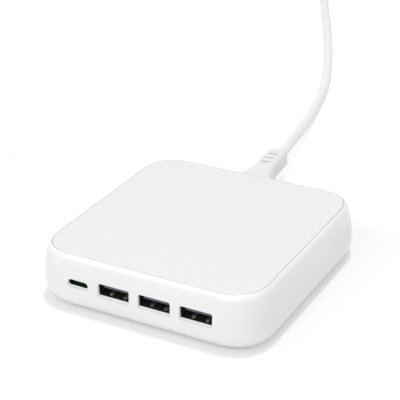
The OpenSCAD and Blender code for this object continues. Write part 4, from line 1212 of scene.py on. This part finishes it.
def make_floor():
    """Pale floor: lifted towards white where the camera or a reflection sees it, lifted further behind the
    housing as painted light over the lead's shadow, and not under the housing, which leaves painted shade
    there, and a plain pale surface for the light that it returns."""
    f = Finish("studio_floor", tone(FLOOR_TONE), 0.9, specular=0.1)
    ray = f.tree.nodes.new("ShaderNodeLightPath").outputs
    seen = maths(f.tree, "MAXIMUM", ray["Is Camera Ray"], ray["Is Glossy Ray"])
    axes = f.tree.nodes.new("ShaderNodeSeparateXYZ")
    f.link(f.place, axes.inputs[0])
    # Painted light: the lift grows behind the housing to pale the shadow of the connector and lead
    lift = ranged(f.tree, axes.outputs["Y"], *BEHIND, FLOOR_LIFT, FLOOR_LIFT_BEHIND, "SMOOTHSTEP")
    apart = []
    for axis, flat in (("X", HALF_W), ("Y", HALF_D)):
        size = maths(f.tree, "ABSOLUTE", axes.outputs[axis])
        past = maths(f.tree, "SUBTRACT", size, flat * MM, clamp=True)
        apart.append(maths(f.tree, "POWER", past, CORNER_N))
    out = maths(f.tree, "POWER", maths(f.tree, "ADD", *apart), 1 / CORNER_N)
    # Painted shade: the lift is taken away under the housing, darkening the floor beneath it
    start, end = ((CORNER_R - inset) * MM for inset in PAINTED_SHADE_UNDER[::-1])
    clear = ranged(f.tree, out, start, end, 0.0, 1.0, "SMOOTHSTEP")
    share = maths(f.tree, "MULTIPLY", lift, clear)
    f.shades(seen, [(0.0, tone(FLOOR_TONE)), (1.0, tone(FLOOR_SEEN))])
    f.set("Emission Color", (1.0, 1.0, 1.0, 1.0))
    f.link(maths(f.tree, "MULTIPLY", seen, share), f.shader.inputs["Emission Strength"])


def lay_floor():
    """A wide flat floor just under the feet."""
    across = np.linspace(-FLOOR_HALF, FLOOR_HALF, 9)
    x, y = np.meshgrid(across, across, indexing="ij")
    points = np.stack([x, y, np.full_like(x, FLOOR_Z)], -1)
    mesh = bpy.data.meshes.new("floor")
    mesh.from_pydata(points.reshape(-1, 3), [], grid_faces(*x.shape).tolist())
    make_floor()
    mesh.materials.append(FINISHES["studio_floor"])
    placed("floor", mesh)


def make_room():
    """A white room: full white where it is seen, and fainter as a light."""
    world = bpy.data.worlds.new("studio_room")
    world.use_nodes = True
    tree = world.node_tree
    background = tree.nodes["Background"]
    background.inputs["Color"].default_value = (1.0, 1.0, 1.0, 1.0)
    ray = tree.nodes.new("ShaderNodeLightPath").outputs
    seen = maths(tree, "ADD", ray["Is Camera Ray"], ray["Is Glossy Ray"])
    seen = maths(tree, "ADD", seen, ray["Is Transmission Ray"])
    tree.links.new(ranged(tree, seen, 0.0, 1.0, ROOM, 1.0), background.inputs["Strength"])
    bpy.context.scene.world = world


def hang_lamp(name, azimuth, elevation, distance, size, brightness):
    """A rectangular lamp that faces the part: its power is pi times its area times its brightness."""
    away = away_from_part(math.radians(azimuth), math.radians(elevation))
    data = bpy.data.lights.new(name, "AREA")
    data.shape = "RECTANGLE"
    data.size, data.size_y = size
    data.energy = math.pi * size[0] * size[1] * brightness
    made = placed(name, data)
    made.location = away * distance
    made.rotation_mode = "QUATERNION"
    made.rotation_quaternion = (-away).to_track_quat("-Z", "Y")


place_camera()
lay_floor()
make_room()
for name, values in LAMPS.items():
    hang_lamp(name, *values)
bpy.context.scene.view_settings.view_transform = "Standard"
